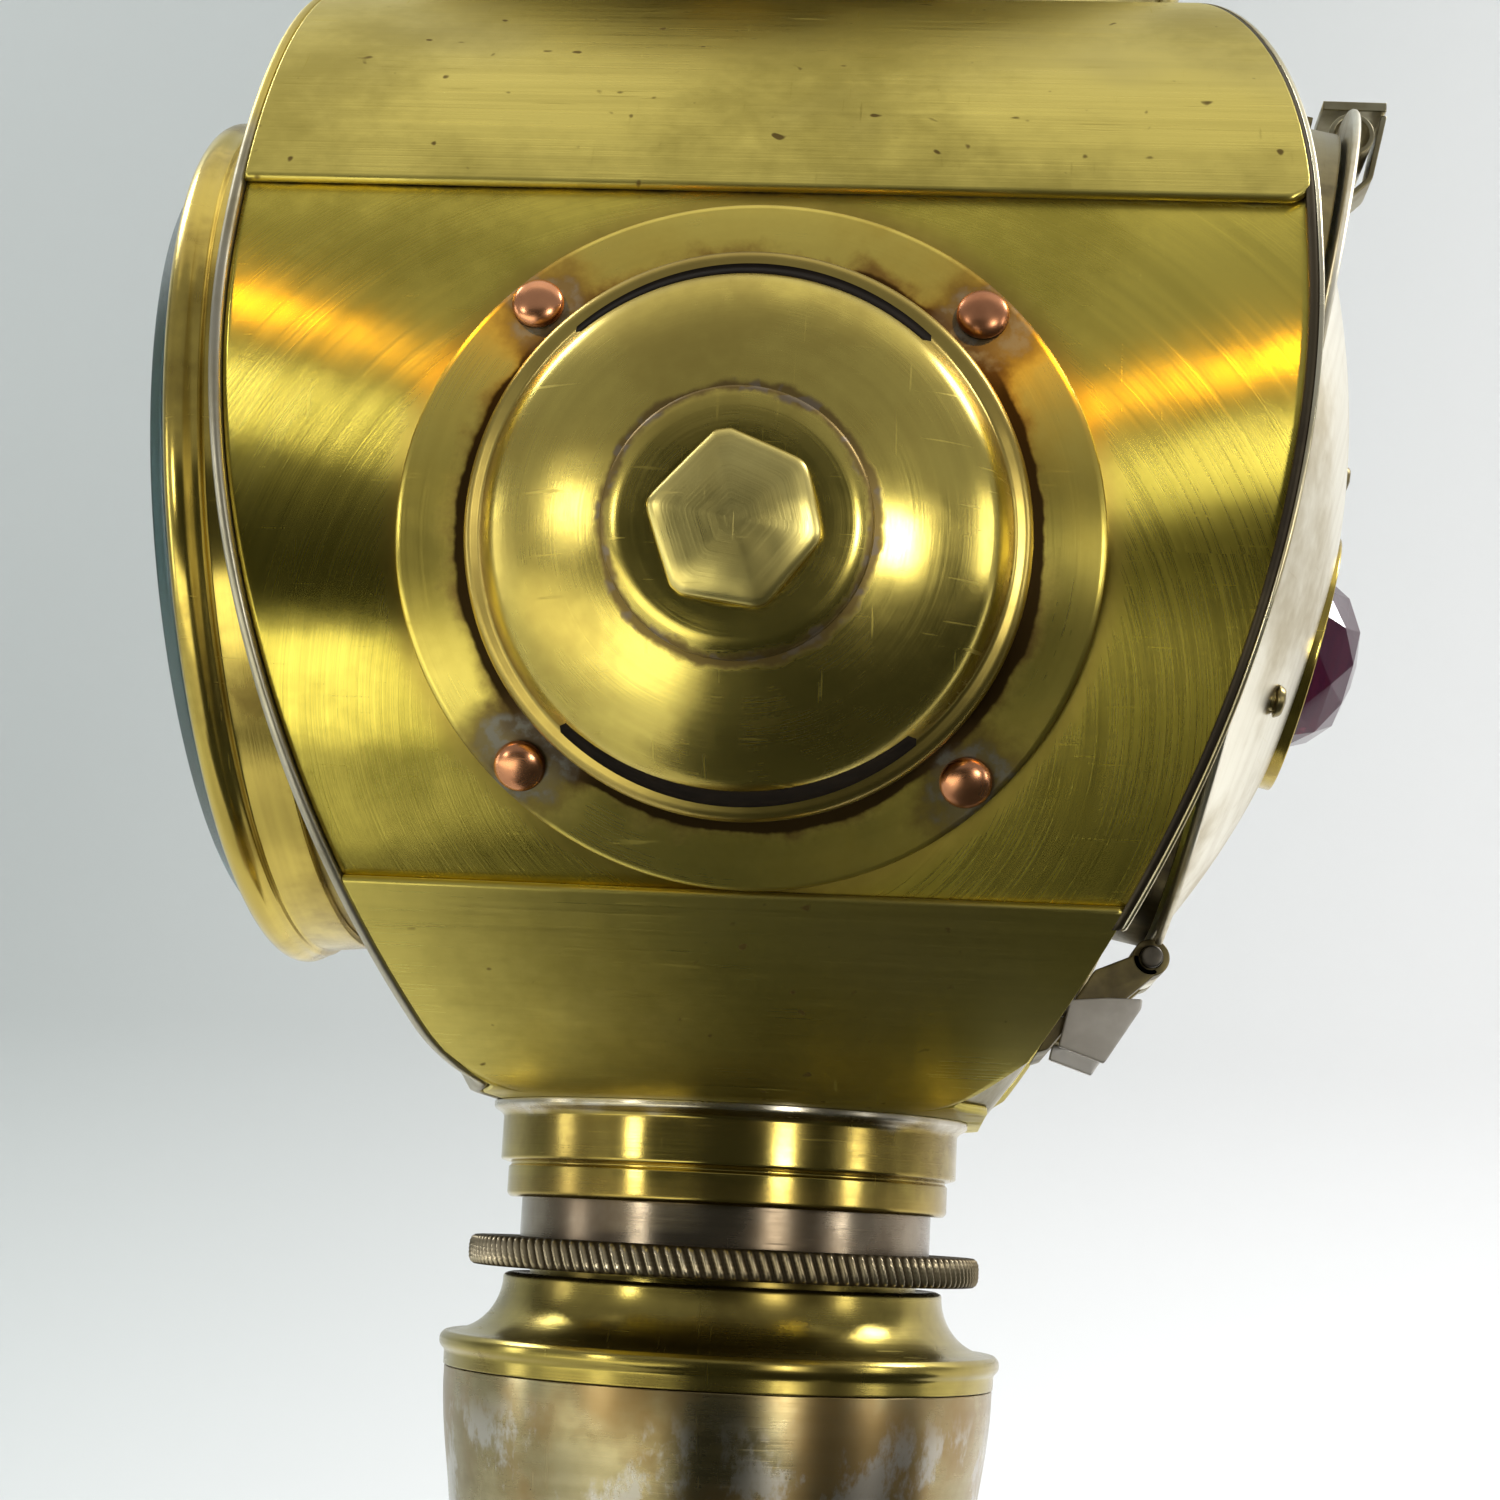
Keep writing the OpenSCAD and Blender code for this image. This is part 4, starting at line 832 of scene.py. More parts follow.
cheeks = [flat_plate(cheek_outline, s * CHEEK_AT, 0.6) for s in (-1, 1)]
shaped("hinge_cheeks", cheeks, cheek_metal, "dark_brass", "head")
steel = worn_metal("pin_steel", (0.20, 0.18, 0.15), (0.07, 0.06, 0.05), (0.35, 0.5), 0.2, 0.3, 0.3)
pin = [(0, -PIN_HALF, 0), (0.6, -PIN_HALF, 0.15), (0.6, PIN_HALF, 0.15), (0, PIN_HALF, 0)]
shaped("hinge_pin_skin", turned(pin, HINGE, SIDEWAYS, DOOR[2], 32), steel, "steel_wire", "head", "hinge_pin")

# Reflector. A silvered dish riveted inside the door by three small rivets,
# with a hole behind the jewel so that it glows.
DISH_R, DISH_RIM, DISH_RISE = 38.0, 19.5, 1.6


def dish_lift(y, s):
    """Height of the reflector's outer face: the cap of a sphere."""
    return DISH_RISE - DISH_R + np.sqrt(DISH_R ** 2 - y ** 2 - (s + DOME_DROP) ** 2)


silver = worn_metal("silvered_dish", (0.88, 0.87, 0.82), (0.62, 0.58, 0.48), (0.10, 0.22), 0.2, 0.3, 0.3)
dish = door_disc(lambda p, q: np.hypot(p, q + DOME_DROP) < DISH_RIM, 5.5, full_turn(300), dish_lift, 24)
shaped("reflector_skin", dish, silver, "silvered", "door", "reflector")
dish_rivets = []
for y, s in ((0.0, 5.3), (12.0, -11.0), (-12.0, -11.0)):
    foot, top = dish_lift(y, s) - 1.35, dome_lift(y, s)
    rivet = [(0, foot, 0), (0.9, foot, 0.1), (0.9, foot + 0.35, 0.1), (0.55, foot + 0.4, 0.05),
             (0.55, top, 0.05), (0.9, top + 0.12, 0.1), (0.7, top + 0.5, 0.15), (0, top + 0.62, 0)]
    dish_rivets.append(turned(rivet, door_point(y, s), *DOOR[1:], 40))
shaped("reflector_rivet_skins", dish_rivets, dark_brass, "dark_brass", "door", "reflector_rivets")

# Jewel and its ring. A cut glass jewel, dark red purple, drops into a brass
# ring set in the door and is held from behind by a clip.
JEWEL = leaning(door_point(0.0, -JEWEL_DROP, 4.65), 13.7, 1)
jewel_ring = [(7.4, -1.3, 0.08), (7.4, 0.4, 0.12), (6.9, 0.4, 0.12), (6.9, -0.1, 0.08), (5.15, -0.45, 0.08),
              (5.15, -0.85, 0.08), (6.9, -0.55, 0.05), (6.9, -1.3, 0.08)]
shaped("jewel_ring_skin", turned(jewel_ring, *JEWEL, 160), bezel_brass, "brass_sheet", "door", "jewel_ring")
clip = [(4.2, -1.6, 0.08), (6.85, -1.6, 0.08), (6.85, -1.1, 0.08), (4.2, -1.1, 0.08)]
shaped("jewel_clip_skin", turned(clip, *JEWEL, 120), dark_brass, "brass_sheet", "door", "jewel_clip")


def cut_jewel(rings):
    """Facets between rings (radius, height, corners, first angle): the hull of all their corners."""
    at, out, up = JEWEL
    repeats = [ring[2] for ring in rings]
    radius, height, corners, first = (np.repeat([ring[k] for ring in rings], repeats)[:, None]
                                      for k in range(4))
    a = first + 2 * np.pi * np.concatenate([np.arange(count) for count in repeats])[:, None] / corners
    points = at + height * out + radius * (np.cos(a) * up + np.sin(a) * np.cross(out, up))
    mesh = bpy.data.meshes.new("jewel_cut")
    mesh.from_pydata((points * MM).tolist(), [], [])
    hull = bmesh.new()
    hull.from_mesh(mesh)
    bmesh.ops.convex_hull(hull, input=hull.verts)
    bmesh.ops.recalc_face_normals(hull, faces=hull.faces)
    hull.to_mesh(mesh)
    hull.free()
    return mesh


jewel_mesh = cut_jewel([(4.9, -1.0, 16, 0.0), (5.05, 0.3, 16, 0.0), (4.3, 1.75, 8, np.pi / 8),
                        (3.0, 2.75, 8, 0.0), (1.3, 3.1, 6, 0.2)])
jewel_mesh.materials.append(clear_glass("jewel_glass", (0.09, 0.015, 0.045), 0.55, 0.05))
jewel_piece = add("jewel_cut", jewel_mesh)
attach(jewel_piece, "door")
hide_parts("jewel")

# Latch. A springy tongue riveted to the door, bent up behind the loop and
# folded over the top to catch on the collar's lug.


def smooth_path(corners, count=60, bend=0.5):
    """Polyline through the corners with each corner averaged over a short run."""
    corners = np.array(corners, float)
    length = np.concatenate([[0], np.cumsum(np.linalg.norm(np.diff(corners, axis=0), axis=1))])
    run = np.linspace(0, length[-1], count)
    at = np.clip(run[None, :] + np.linspace(-bend / 2, bend / 2, 9)[:, None], 0, length[-1])
    return np.stack([np.interp(at, length, corners[:, k]).mean(0) for k in (0, 1)], 1)


tongue = bar(smooth_path([(18.25, 1.02), (20.85, 1.02), (22.85, 2.47), (26.9, 2.47)]), 3.4, 0.33, *DOOR)
nose = bar(smooth_path([(27.35, 2.55), (26.65, -1.15)], 30), 3.7, 0.55, *DOOR)
shaped("latch_tongue", tongue, latch_metal, "white_metal", "latch", "latch_hook", open_ends=True)
shaped("latch_nose", nose, latch_metal, "brass_sheet", "latch", open_ends=True)
latch_rivet = [(0, -0.9, 0), (1.25, -0.9, 0.1), (1.25, -0.45, 0.1), (0.58, -0.4, 0.05), (0.58, 1.2, 0.05),
               (1.2, 1.22, 0.1), (1.05, 1.6, 0.25), (0.5, 1.9, 0.2), (0, 1.95, 0)]
latch_head = turned(latch_rivet, door_point(0.0, 19.1), *DOOR[1:], 48)
shaped("latch_rivet_skin", latch_head, dark_brass, "dark_brass", "latch", "latch_rivet")

# Ventilators. On each side a flange follows the drum, a pressed dome with two
# air slots stands on it, and a boss with a worn six sided stud closes it.
# The four copper rivets are tinmen's rivets with their solder still on them.
DOME_HALF, DOME_HIGH, DOME_WALL = 12.8, 6.2, 0.45
DOME_TOP = SADDLE_R + DOME_HIGH
RIVET_SPOTS = [(u * 10.2, v * 10.6) for u in (-1, 1) for v in (-1, 1)]


def rivet_axis(side, u, v):
    """Point and direction of a rivet: the ventilator's axis turned about the drum's to the rivet's height."""
    level = -VENT_DOWN + np.arcsin(v / SADDLE_R)
    return np.array([VENT_X + u, 0.0, DRUM]), np.array([0.0, side * np.cos(level), np.sin(level)])


def vent_marks(tree, where):
    """Dark brown at the dome's foot and grey solder with brown heat stain round each rivet."""
    far, near = from_vent(tree, where), near_place(tree, where)
    ripple = times(tree, noise(tree, where, 380.0, 5.0), 0.0042)
    foot = times(tree, fade(tree, minus(tree, far, ripple), 0.0121, 0.0108), 0.85)
    line = fade(tree, minus(tree, far, times(tree, ripple, 0.2)), 0.01305, 0.01285)
    nearest = 1.0
    for u, v in RIVET_SPOTS:
        at, axis = rivet_axis(-1, u, v)
        nearest = number(tree, "MINIMUM", nearest, off_axis(tree, near, at * MM, axis))
    gap = minus(tree, nearest, ripple)
    heat = times(tree, fade(tree, gap, 0.0018, -0.0004), 0.80)
    bits = times(tree, fade(tree, noise(tree, where, 1100.0, 4.0), 0.44, 0.60), 0.6)
    solder = times(tree, fade(tree, gap, 0.0002, -0.0005), plus(tree, bits, 0.25))
    return [(foot, (0.16, 0.09, 0.03), 0.5), (line, (0.05, 0.03, 0.01), 0.6),
            (heat, (0.11, 0.065, 0.025), 0.5), (solder, (0.25, 0.24, 0.20), 0.5)]


def boss_marks(tree, where):
    """Ragged line of brown dirt and grey solder where the boss sits on the dome, and a browner lip."""
    far = from_vent(tree, where)
    ripple = times(tree, minus(tree, noise(tree, where, 700.0, 4.0), 0.5), 0.0010)
    off = number(tree, "ABSOLUTE", plus(tree, minus(tree, far, 0.00592), ripple))
    line = fade(tree, off, 0.00050, 0.00015)
    bits = times(tree, line, fade(tree, noise(tree, where, 900.0, 2.0), 0.52, 0.60))
    lip = times(tree, fade(tree, plus(tree, far, ripple), 0.0114, 0.0120), 0.55)
    return [(times(tree, line, 0.85), (0.14, 0.085, 0.035), 0.5), (bits, (0.22, 0.17, 0.11), 0.5),
            (lip, (0.30, 0.20, 0.06), 0.36)]


def mottled(name, scale, first, second, finish):
    """Plain material in two tones mixed by noise, with the shader's other inputs as given."""
    paint, tree, shader, where = new_paint(name)
    fill(tree, shader, {"Base Color": blend_colour(tree, noise(tree, where, scale), first, second), **finish})
    return paint


flange_brass = worn_metal("flange_brass", (0.74, 0.60, 0.13), (0.54, 0.42, 0.08), (0.28, 0.38),
                          0.65, 0.5, 0.4, vent_marks)
dome_brass = worn_metal("dome_brass", (0.70, 0.56, 0.13), (0.46, 0.35, 0.08), (0.20, 0.33),
                        0.25, 0.6, 0.5, boss_marks, dents=2.0)
stud_brass = worn_metal("stud_brass", (0.84, 0.70, 0.24), (0.58, 0.46, 0.14), (0.28, 0.44),
                        0.3, 1.0, 0.8, dents=8.0)
copper = worn_metal("rivet_copper", (0.82, 0.37, 0.18), (0.42, 0.17, 0.08), (0.24, 0.36), 0.1, 0.3, 0.4)
# Near black for the slot mouths: painted shade of the open slots.
slot_shade_paint = mottled("slot_painted_shade", 900.0, (0.003, 0.002, 0.001), (0.016, 0.010, 0.005),
               {"Roughness": 0.9, "Specular IOR Level": 0.1})


def vent_point(side, a, r, h):
    """Ventilator's point at angle a, r from its axis and h out: at + h out + r (cos a along + sin a up)."""
    at, out, up = vent_axes(side)
    ring = np.cos(a)[:, None, None] * np.cross(up, out) + np.sin(a)[:, None, None] * up
    return at + h[..., None] * out + r[..., None] * ring


def flange_ring(side):
    """Ring cut from a sheet on the drum: radius r and angle a about the ventilator's axis go to its face."""
    a = full_turn(300)[:, None]
    face = np.linspace(11.9, 15.8, 12)
    r = np.concatenate([[11.65], face, [16.0, 16.1, 16.1, 16.0], face[::-1], [11.65, 11.6, 11.6]])
    h = np.concatenate([np.zeros(14), [-0.12, -0.38], np.full(14, -0.5), [-0.38, -0.12]])
    level = -VENT_DOWN + np.arcsin(r * np.sin(a) / SADDLE_R)
    return np.stack([VENT_X + r * np.cos(a), side * (SADDLE_R + h) * np.cos(level),
                     DRUM + (SADDLE_R + h) * np.sin(level)], -1)


LIP = np.array([(12.8, 0.0), (12.8, 0.1), (12.8, 0.7), (12.74, 0.98), (12.58, 1.20), (12.34, 1.30),
                (12.12, 1.32), (11.98, 1.38), (11.88, 1.52), (11.78, 1.80), (11.62, 2.20),
                (11.42, 2.62)]) + [0, SADDLE_R]


def dome_shell(side):
    """Pressed dome: a low rounded lip, then an ellipse carried round the axis. Its foot drops to the flange,
    which falls away above and below."""
    a = np.radians(np.arange(0, 360, 0.75))
    lift = np.radians(np.linspace(29, 86, 24))
    outer, inner = (np.stack([(DOME_HALF - wall) * np.cos(lift),
                              SADDLE_R + (DOME_HIGH - wall) * np.sin(lift)], 1)
                    for wall in (0, DOME_WALL))
    tip = np.array([[0.75, DOME_TOP], [0.75, DOME_TOP - DOME_WALL]])
    section = np.concatenate([LIP, outer, tip, inner[::-1], [[12.35, 33.0], [12.8, 33.0]]])
    r, h = (np.broadcast_to(section[:, k], (len(a), len(section))).copy() for k in (0, 1))
    h[:, -2:] = np.sqrt(SADDLE_R ** 2 - (12.6 * np.sin(a)) ** 2)[:, None] + 0.03
    return vent_point(side, a, r, h)


def air_slots(side):
    """Painted shade in the mouths of both slots: a dark strip 0.03 mm proud of the dome inside its lip, 42
    degrees each way.
    """
    grids = []
    for middle in (90, 270):
        a = np.radians(np.linspace(middle - 42, middle + 42, 90))
        off = np.degrees(a) - middle
        spread = (np.clip((42 - np.abs(off)) / 0.8, 0, 1) ** 0.5
                  * (0.72 + 0.28 * np.cos(np.radians(off) * 1.8)))
        run = 8.4 + np.array([-2.4, -1.2, 0, 1.2, 2.5, 2.5, 0, -2.4]) * spread[:, None]
        sunk = np.array([0.02, 0.03, 0.03, 0.03, 0.02, -0.15, -0.15, -0.15])
        r, h = (np.interp(run, np.arange(len(LIP)), LIP[:, k]) + way * sunk
                for k, way in ((0, 0.9), (1, 0.4)))
        grids.append(vent_point(side, a, r, h))
    return grids


def boss_cap(side):
    """Round boss with a rolled edge, from the dome up to the stud."""
    under = [(r, SADDLE_R + DOME_HIGH * np.sqrt(1 - (r / DOME_HALF) ** 2) + 0.05, 0)
             for r in np.linspace(0.75, 5.85, 7)]
    rim = [(5.9, 0.05, 0.1), (5.85, 0.35, 0.2), (5.2, 0.72, 0.4), (4.2, 0.8, 0.2), (0.75, 0.8, 0)]
    return turned(under + [(r, DOME_TOP + h, e) for r, h, e in rim], *vent_axes(side), 200)


def worn_stud(side):
    """Six sided stud rubbed round: its radius is a softened hexagon, and its top is slightly domed."""
    a = full_turn(240)
    flats = zip(np.radians([15, 68, 137, 199, 262, 322]), [3.52, 3.50, 3.30, 3.45, 3.50, 3.35])
    near_flat = [(np.maximum(np.cos(a - facing), 0.02) / gap) ** 22 for facing, gap in flats]
    corner = np.minimum(sum(near_flat) ** (-1 / 22), 3.9)
    scale = np.array([0.0, 0.2, 0.4, 0.6, 0.78, 0.90, 0.97, 1.0, 1.0, 0.99, 0.0])
    drop = np.array([0.0, 0.0, 0.0, 0.0, 0.0, 0.02, 0.10, 0.26, 0.95, 1.06, 1.06])
    r = corner[:, None] * scale
    return vent_point(side, a, r, DOME_TOP + 1.98 - drop - 0.030 * r ** 2 * (drop < 0.9))


crown = [(1.2 * np.sin(t), 33.48 + 0.62 * np.cos(t), 0) for t in np.radians(np.linspace(0, 90, 12))]
copper_rivet = crown + [(1.2, 33.36, 0.05), (0.6, 33.34, 0.03), (0.6, 32.25, 0.03), (0.9, 32.2, 0.05),
                        (0.9, 31.9, 0.1), (0, 31.85, 0)]
for word, side in (("near", -1), ("far", 1)):
    flange = shaped(word + "_flange_skin", flange_ring(side), flange_brass, "brass_sheet", "head",
                    word + "_vent_flange")
    warm_pieces.objects.link(flange)
    shaped(word + "_dome_skin", dome_shell(side), dome_brass, "brass_sheet", "head", word + "_vent_dome")
    shaped(word + "_slot_mouths", air_slots(side), slot_shade_paint, "dark_brass", "head", open_ends=True)
    shaped(word + "_boss_skin", boss_cap(side), dome_brass, "brass_sheet", "head", word + "_vent_boss")
    shaped(word + "_stud_skin", worn_stud(side), stud_brass, "dark_brass", "head", word + "_vent_stud")
    heads = [turned(copper_rivet, *rivet_axis(side, u, v), (1, 0, 0), 48) for u, v in RIVET_SPOTS]
    shaped(word + "_rivet_heads", heads, copper, "copper", "head", word + "_vent_rivets")

# Chimney and cowl. A short tube lets the hot air out through the roof, and a
# shallow spun cowl with a rolled edge stands over it on three straps.
COWL_HALF, COWL_RISE, COWL_TOP, KNOB_Z = 23.4, 5.0, DRUM + 42.4, DRUM + 42.42
COWL_R = (COWL_HALF ** 2 + COWL_RISE ** 2) / (2 * COWL_RISE)


def cowl_at(r, inset=0.0):
    """Height of the cowl's sphere at radius r, or of its underside."""
    return COWL_TOP - COWL_R + np.sqrt((COWL_R - inset) ** 2 - r ** 2)


chimney = [(8.3, 127.0, 0.08), (8.75, 127.0, 0.08), (8.75, 136.0, 0.1), (8.3, 136.0, 0.1)]
shaped("chimney_skin", turned(chimney, steps=160), collar_brass, "brass_sheet", "head", "chimney_tube")
run = np.linspace(1.25, 22.3, 24)
cowl = ([(r, cowl_at(r), 0) for r in run] + arc((22.85, DRUM + 37.35), 0.55, np.linspace(95, -200, 22))
        + [(r, cowl_at(r, 0.5), 0) for r in run[::-1]])
cowl_brass = worn_metal("cowl_brass", (0.72, 0.58, 0.18), (0.38, 0.30, 0.10), (0.22, 0.38), 0.5, 0.5, 0.5)
shaped("cowl_skin", turned(cowl), cowl_brass, "brass_sheet", "head", "cowl")
strap_metal = worn_metal("strap_metal", (0.34, 0.29, 0.20), (0.16, 0.13, 0.09), (0.35, 0.5), 0.3, 0.4, 0.3)
strap_corners = [(132.3, 9.06), (136.6, 9.06), (cowl_at(11.5, 0.5) - 0.45, 11.5),
                 (cowl_at(14.9, 0.5) - 0.33, 14.9)]
strap = bar(smooth_path(strap_corners, 50, 0.8), 4.0, 0.5, (0, 0, 0), np.array([1.0, 0, 0]),
            np.array([0, 0, 1.0]))
straps = [strap @ np.array([[np.cos(a), np.sin(a), 0], [-np.sin(a), np.cos(a), 0], [0, 0, 1]])
          for a in np.radians([60, 180, 300])]
shaped("cowl_strap_skins", straps, strap_metal, "brass_sheet", "head", "cowl_straps", open_ends=True)
knob = [(0, KNOB_Z - 1.2, 0), (1.2, KNOB_Z - 1.2, 0.1), (1.2, KNOB_Z, 0.02), (3.0, KNOB_Z, 0.1),
        (3.0, KNOB_Z + 0.8, 0.2), (1.4, KNOB_Z + 0.95, 0.1),
        *arc((0.0, KNOB_Z + 2.6), 2.2, np.linspace(-45, 90, 16))]
shaped("cowl_knob_skin", turned(knob, steps=96), bezel_brass, "brass_sheet", "head", "cowl_knob")

# Neck collar. A turned brass socket soldered under the drum: a flare, a plain
# band and a second, slightly smaller band with a fine groove between.


def neck_marks(tree, where):
    """Bright solder and brown stain where the flare meets the drum."""
    ragged = plus(tree, parts(tree, where)[2], times(tree, noise(tree, where, 420.0, 4.0), 0.0016))
    solder = times(tree, fade(tree, ragged, 0.0662, 0.0671), 0.8)
    band = times(tree, fade(tree, ragged, 0.0634, 0.0625), 0.35)
    return [(solder, (0.66, 0.62, 0.55), 0.30), (band, (0.36, 0.24, 0.06), 0.30)]


neck_brass = worn_metal("neck_brass", (0.52, 0.40, 0.10), (0.24, 0.17, 0.04), (0.16, 0.28),
                        0.70, 0.5, 0.3, neck_marks)
neck = [(11.34, 61.1, 0.08), (11.95, 61.1, 0.12), (12.15, 61.3, 0.1), (12.15, 62.75, 0.08),
        (12.02, 62.85, 0.04), (12.02, 62.95, 0.04), (12.2, 63.0, 0.05), (12.6, 63.12, 0.12),
        (12.6, 65.5, 0.15), (12.75, 65.68, 0.1), (13.15, 65.92, 0.12), (13.15, 66.28, 0.06),
        (11.87, 66.28, 0.02), (11.87, 68.8, 0.05), (10.6, 68.8, 0.05), (10.6, 68.3, 0.05),
        (11.34, 68.3, 0.05)]
shaped("neck_skin", turned(neck, steps=300), neck_brass, "brass_sheet", "head", "neck_collar")

# Cap. A nickel plated sleeve that slips into the neck, on a brass ring with
# slanting knurls to turn it by.
RIDGES, SLANT, RING_LOW, RING_MIDDLE, RING_TOP = 145, 0.35, 57.4, 58.2, 59.0
nickel = worn_metal("cap_nickel", (0.34, 0.28, 0.20), (0.19, 0.14, 0.09), (0.20, 0.34), 0.65, 0.5, 0.4)
sleeve = [(10.95, 57.4, 0.05), (11.3, 57.4, 0.05), (11.3, 67.65, 0.15), (11.0, 68.0, 0.15), (7.5, 68.0, 0.1),
          (7.5, 67.55, 0.1), (10.95, 67.55, 0.1)]
shaped("cap_sleeve_skin", turned(sleeve, steps=240), nickel, "nickel", "cap", "cap_sleeve")


def knurl():
    """Rope edge: radius base - depth (1 - cos(ridges (a + slant h / 14))) dips between slanting ridges, and
    the ring's edges are rounded."""
    a = full_turn(RIDGES * 8)[:, None]
    z = np.array([RING_LOW, 57.42, 57.55, 57.75, 57.98, RING_MIDDLE, 58.42, 58.65, 58.85, 58.98, RING_TOP])
    base = np.array([13.55, 13.75, 13.93, 14.02, 14.05, 14.05, 14.05, 14.02, 13.93, 13.75, 13.55])
    depth = np.array([0.0, 0.05, 0.13, 0.16, 0.17, 0.17, 0.17, 0.16, 0.13, 0.05, 0.0])
    r = base - depth * (1 - np.cos(RIDGES * (a + SLANT * (z - RING_MIDDLE) / 14.0)))
    r = np.concatenate([r, np.full((len(a), 2), 11.32)], 1)
    z = np.concatenate([z, [RING_TOP, RING_LOW]])
    return np.stack([r * np.cos(a), r * np.sin(a), np.broadcast_to(z, r.shape)], -1)


def knurl_marks(tree, where):
    """Dark dirt held low between the ridges."""
    away = off_axis(tree, where, (0.0, 0.0, 0.0), (0.0, 0.0, 1.0))
    return [(fade(tree, away, 0.01394, 0.01376), (0.06, 0.045, 0.025), 0.6)]


knurl_brass = worn_metal("knurl_brass", (0.50, 0.42, 0.28), (0.26, 0.20, 0.11), (0.28, 0.4),
                         0.0, 0.3, 0.3, knurl_marks)
shaped("knurled_skin", knurl(), knurl_brass, "brass_sheet", "cap", "knurled_ring")

# Candle holder. A spun shoulder with a bead is soldered to the drawn tube,
# and a flat foot closes the tube. The plating is worn to mottled brown.
QUARTER = np.pi / 2
TUBE_R, TUBE_WALL, TUBE_FLARE = 14.0, 0.5, 0.95


def tube_marks(tree, where):
    """Remains of silver plating in ragged patches below the shoulder, over broad brown stains."""
    patches = fade(tree, noise(tree, where, 240.0, 6.0, (1, 1, 0.6), rough=0.7), 0.50, 0.60)
    below = times(tree, fade(tree, parts(tree, where)[2], 0.0516, 0.0490), 0.75)
    brown = times(tree, fade(tree, noise(tree, where, 110.0, 4.0), 0.44, 0.62), 0.7)
    return [(brown, (0.30, 0.18, 0.06), 0.36), (times(tree, patches, below), (0.50, 0.47, 0.42), 0.30)]


tube_metal = worn_metal("tube_metal", (0.42, 0.36, 0.20), (0.22, 0.17, 0.07), (0.20, 0.34),
                        0.70, 0.5, 0.4, tube_marks)
shoulder_metal = worn_metal("shoulder_metal", (0.42, 0.33, 0.08), (0.22, 0.16, 0.04), (0.22, 0.33),
                            0.70, 0.5, 0.4)
hollow = [(12.05 + 2.9 * (1 - np.cos(k * QUARTER)), 56.85 - 3.05 * np.sin(k * QUARTER), 0)
          for k in np.linspace(0, 1, 14)[1:-1]]
shoulder = [(10.3, 50.6, 0.05), (10.3, 65.4, 0.1), (10.65, 65.4, 0.1), (10.65, 57.0, 0.05),
            (11.7, 57.08, 0.1), (12.05, 56.95, 0.15), *hollow, (15.05, 53.82, 0.1), (15.3, 53.55, 0.2),
            (15.3, 53.1, 0.2), (15.02, 52.8, 0.1), (15.0, 52.05, 0.05), (14.3, 52.05, 0.05),
            (14.3, 51.0, 0.05), (13.85, 51.0, 0.05), (13.85, 53.4, 0.1), (11.5, 55.6, 0.3),
            (10.7, 56.4, 0.1), (10.65, 50.6, 0.05)]
shaped("shoulder_skin", turned(shoulder, steps=300), shoulder_metal, "worn_brass", "holder",
       "bottle_shoulder")
wall_out = [(TUBE_R + TUBE_FLARE * np.sin(k * QUARTER) ** 2, 42.0 + 9.85 * k, 0)
            for k in np.linspace(0, 1, 22)]
wall_in = [(r - TUBE_WALL, z, 0) for r, z, _ in wall_out[::-1]]
tube = [(TUBE_R, 0.62, 0.1), (TUBE_R, 5.0, 0), (TUBE_R, 38.0, 0), *wall_out, (14.95, 52.0, 0.08),
        (14.45, 52.0, 0.08), *wall_in, (13.5, 38.0, 0), (13.5, 0.62, 0.05)]
shaped("tube_skin", turned(tube, steps=300), tube_metal, "worn_brass", "holder", "candle_tube")
foot = [(0, 0.0, 0), (13.0, 0.0, 0), (13.9, 0.0, 0.15), (13.9, 0.6, 0.15), (13.48, 0.6, 0.05),
        (13.48, 3.1, 0.1), (13.0, 3.1, 0.1), (13.0, 0.6, 0.05), (0, 0.6, 0)]
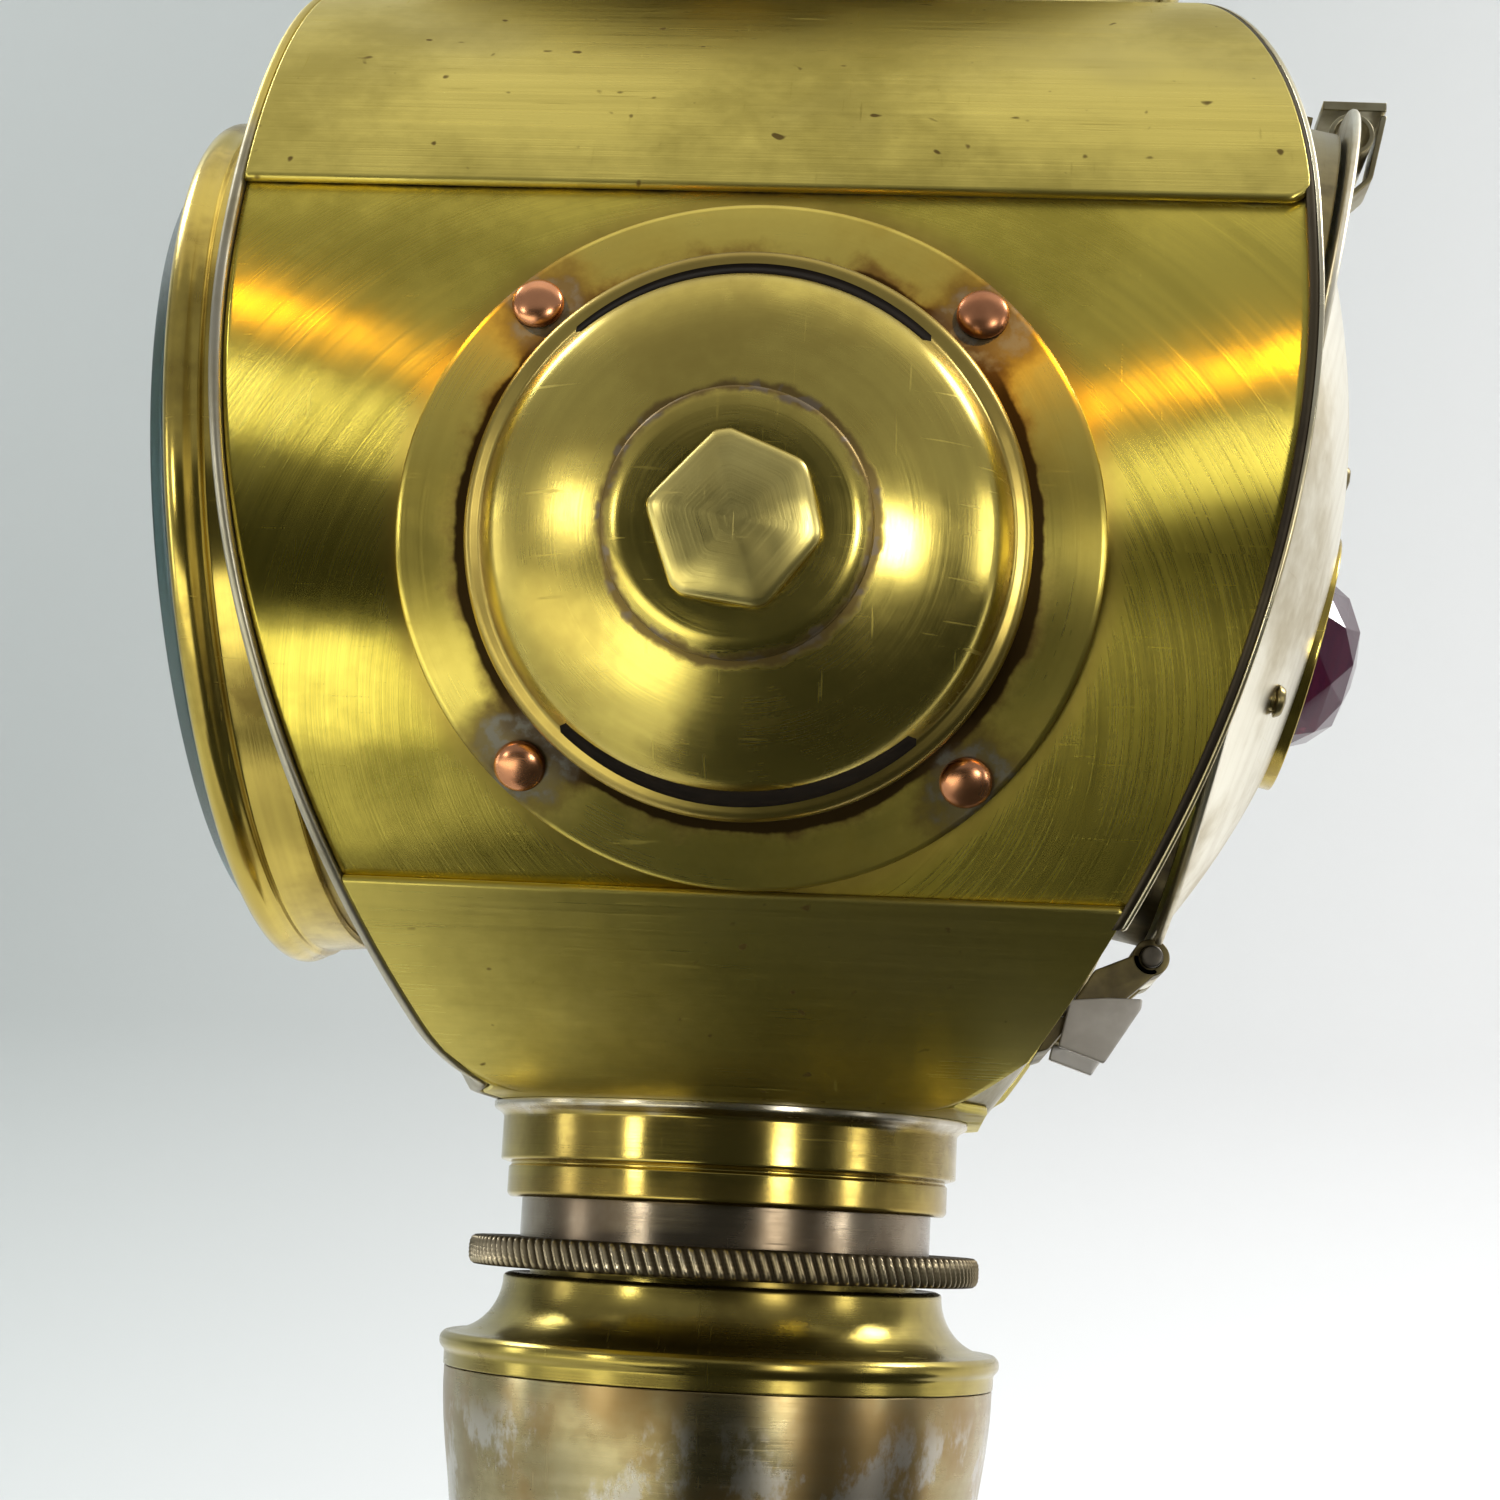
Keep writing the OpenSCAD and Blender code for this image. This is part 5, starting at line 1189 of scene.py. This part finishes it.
shaped("foot_skin", turned(foot, steps=200), shoulder_metal, "worn_brass", "holder", "tube_foot_cap")

# Candle, follower and spring. The spring in the tube pushes the follower and
# the candle up against the cap, so that the wick stays in the lens's light.
wax = mottled("candle_wax", 160.0, (0.86, 0.80, 0.66), (0.93, 0.90, 0.82),
              {"Roughness": 0.42, "Subsurface Weight": 0.25, "Subsurface Radius": (0.002, 0.0015, 0.001)})
candle = [(0, 29.0, 0), (9.0, 29.0, 0), (9.9, 29.0, 0.3), (9.9, 66.6, 0.5), (8.2, 67.5, 0.5),
          (5.0, 66.8, 1.0), (0, 66.5, 0)]
shaped("candle_skin", turned(candle, steps=120), wax, "wax", "candle", "candle")


def bent_wick():
    """Wick: a circle that leans over as it rises, with a plait wound round it."""
    t, a = np.linspace(0, 1, 40)[:, None], full_turn(16)
    centre = np.stack([0.22 * t ** 2, 0.05 * np.sin(6 * t), 66.2 + 6.9 * t], -1)
    r = (0.52 + 0.06 * np.sin(3 * a + 30 * t)) * np.clip((1 - t) * 12, 0, 1) ** 0.5
    r[0] = 0.0
    return centre + np.stack([r * np.cos(a), r * np.sin(a), 0 * r], -1)


char = mottled("charred_cotton", 2500.0, (0.02, 0.018, 0.016), (0.16, 0.13, 0.10), {"Roughness": 0.9})
shaped("wick_skin", bent_wick(), char, "wick", "candle", "wick", open_ends=True)
follower = [(0, 28.0, 0), (13.2, 28.0, 0.15), (13.2, 32.0, 0.1), (12.8, 32.0, 0.1), (12.8, 28.95, 0.05),
            (10.35, 28.95, 0.05), (10.35, 32.0, 0.1), (9.95, 32.0, 0.1), (9.95, 28.95, 0.05), (0, 28.95, 0)]
shaped("follower_skin", turned(follower, steps=120), collar_brass, "brass_sheet", "candle", "candle_follower")
spring_steel = mottled("spring_steel", 400.0, (0.30, 0.29, 0.27), (0.14, 0.12, 0.10),
                       {"Metallic": 1.0, "Roughness": 0.38})
spring_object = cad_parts["candle_spring"]
for material_place in spring_object.material_slots:
    material_place.material = spring_steel
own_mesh(spring_object)

bpy.context.view_layer.update()
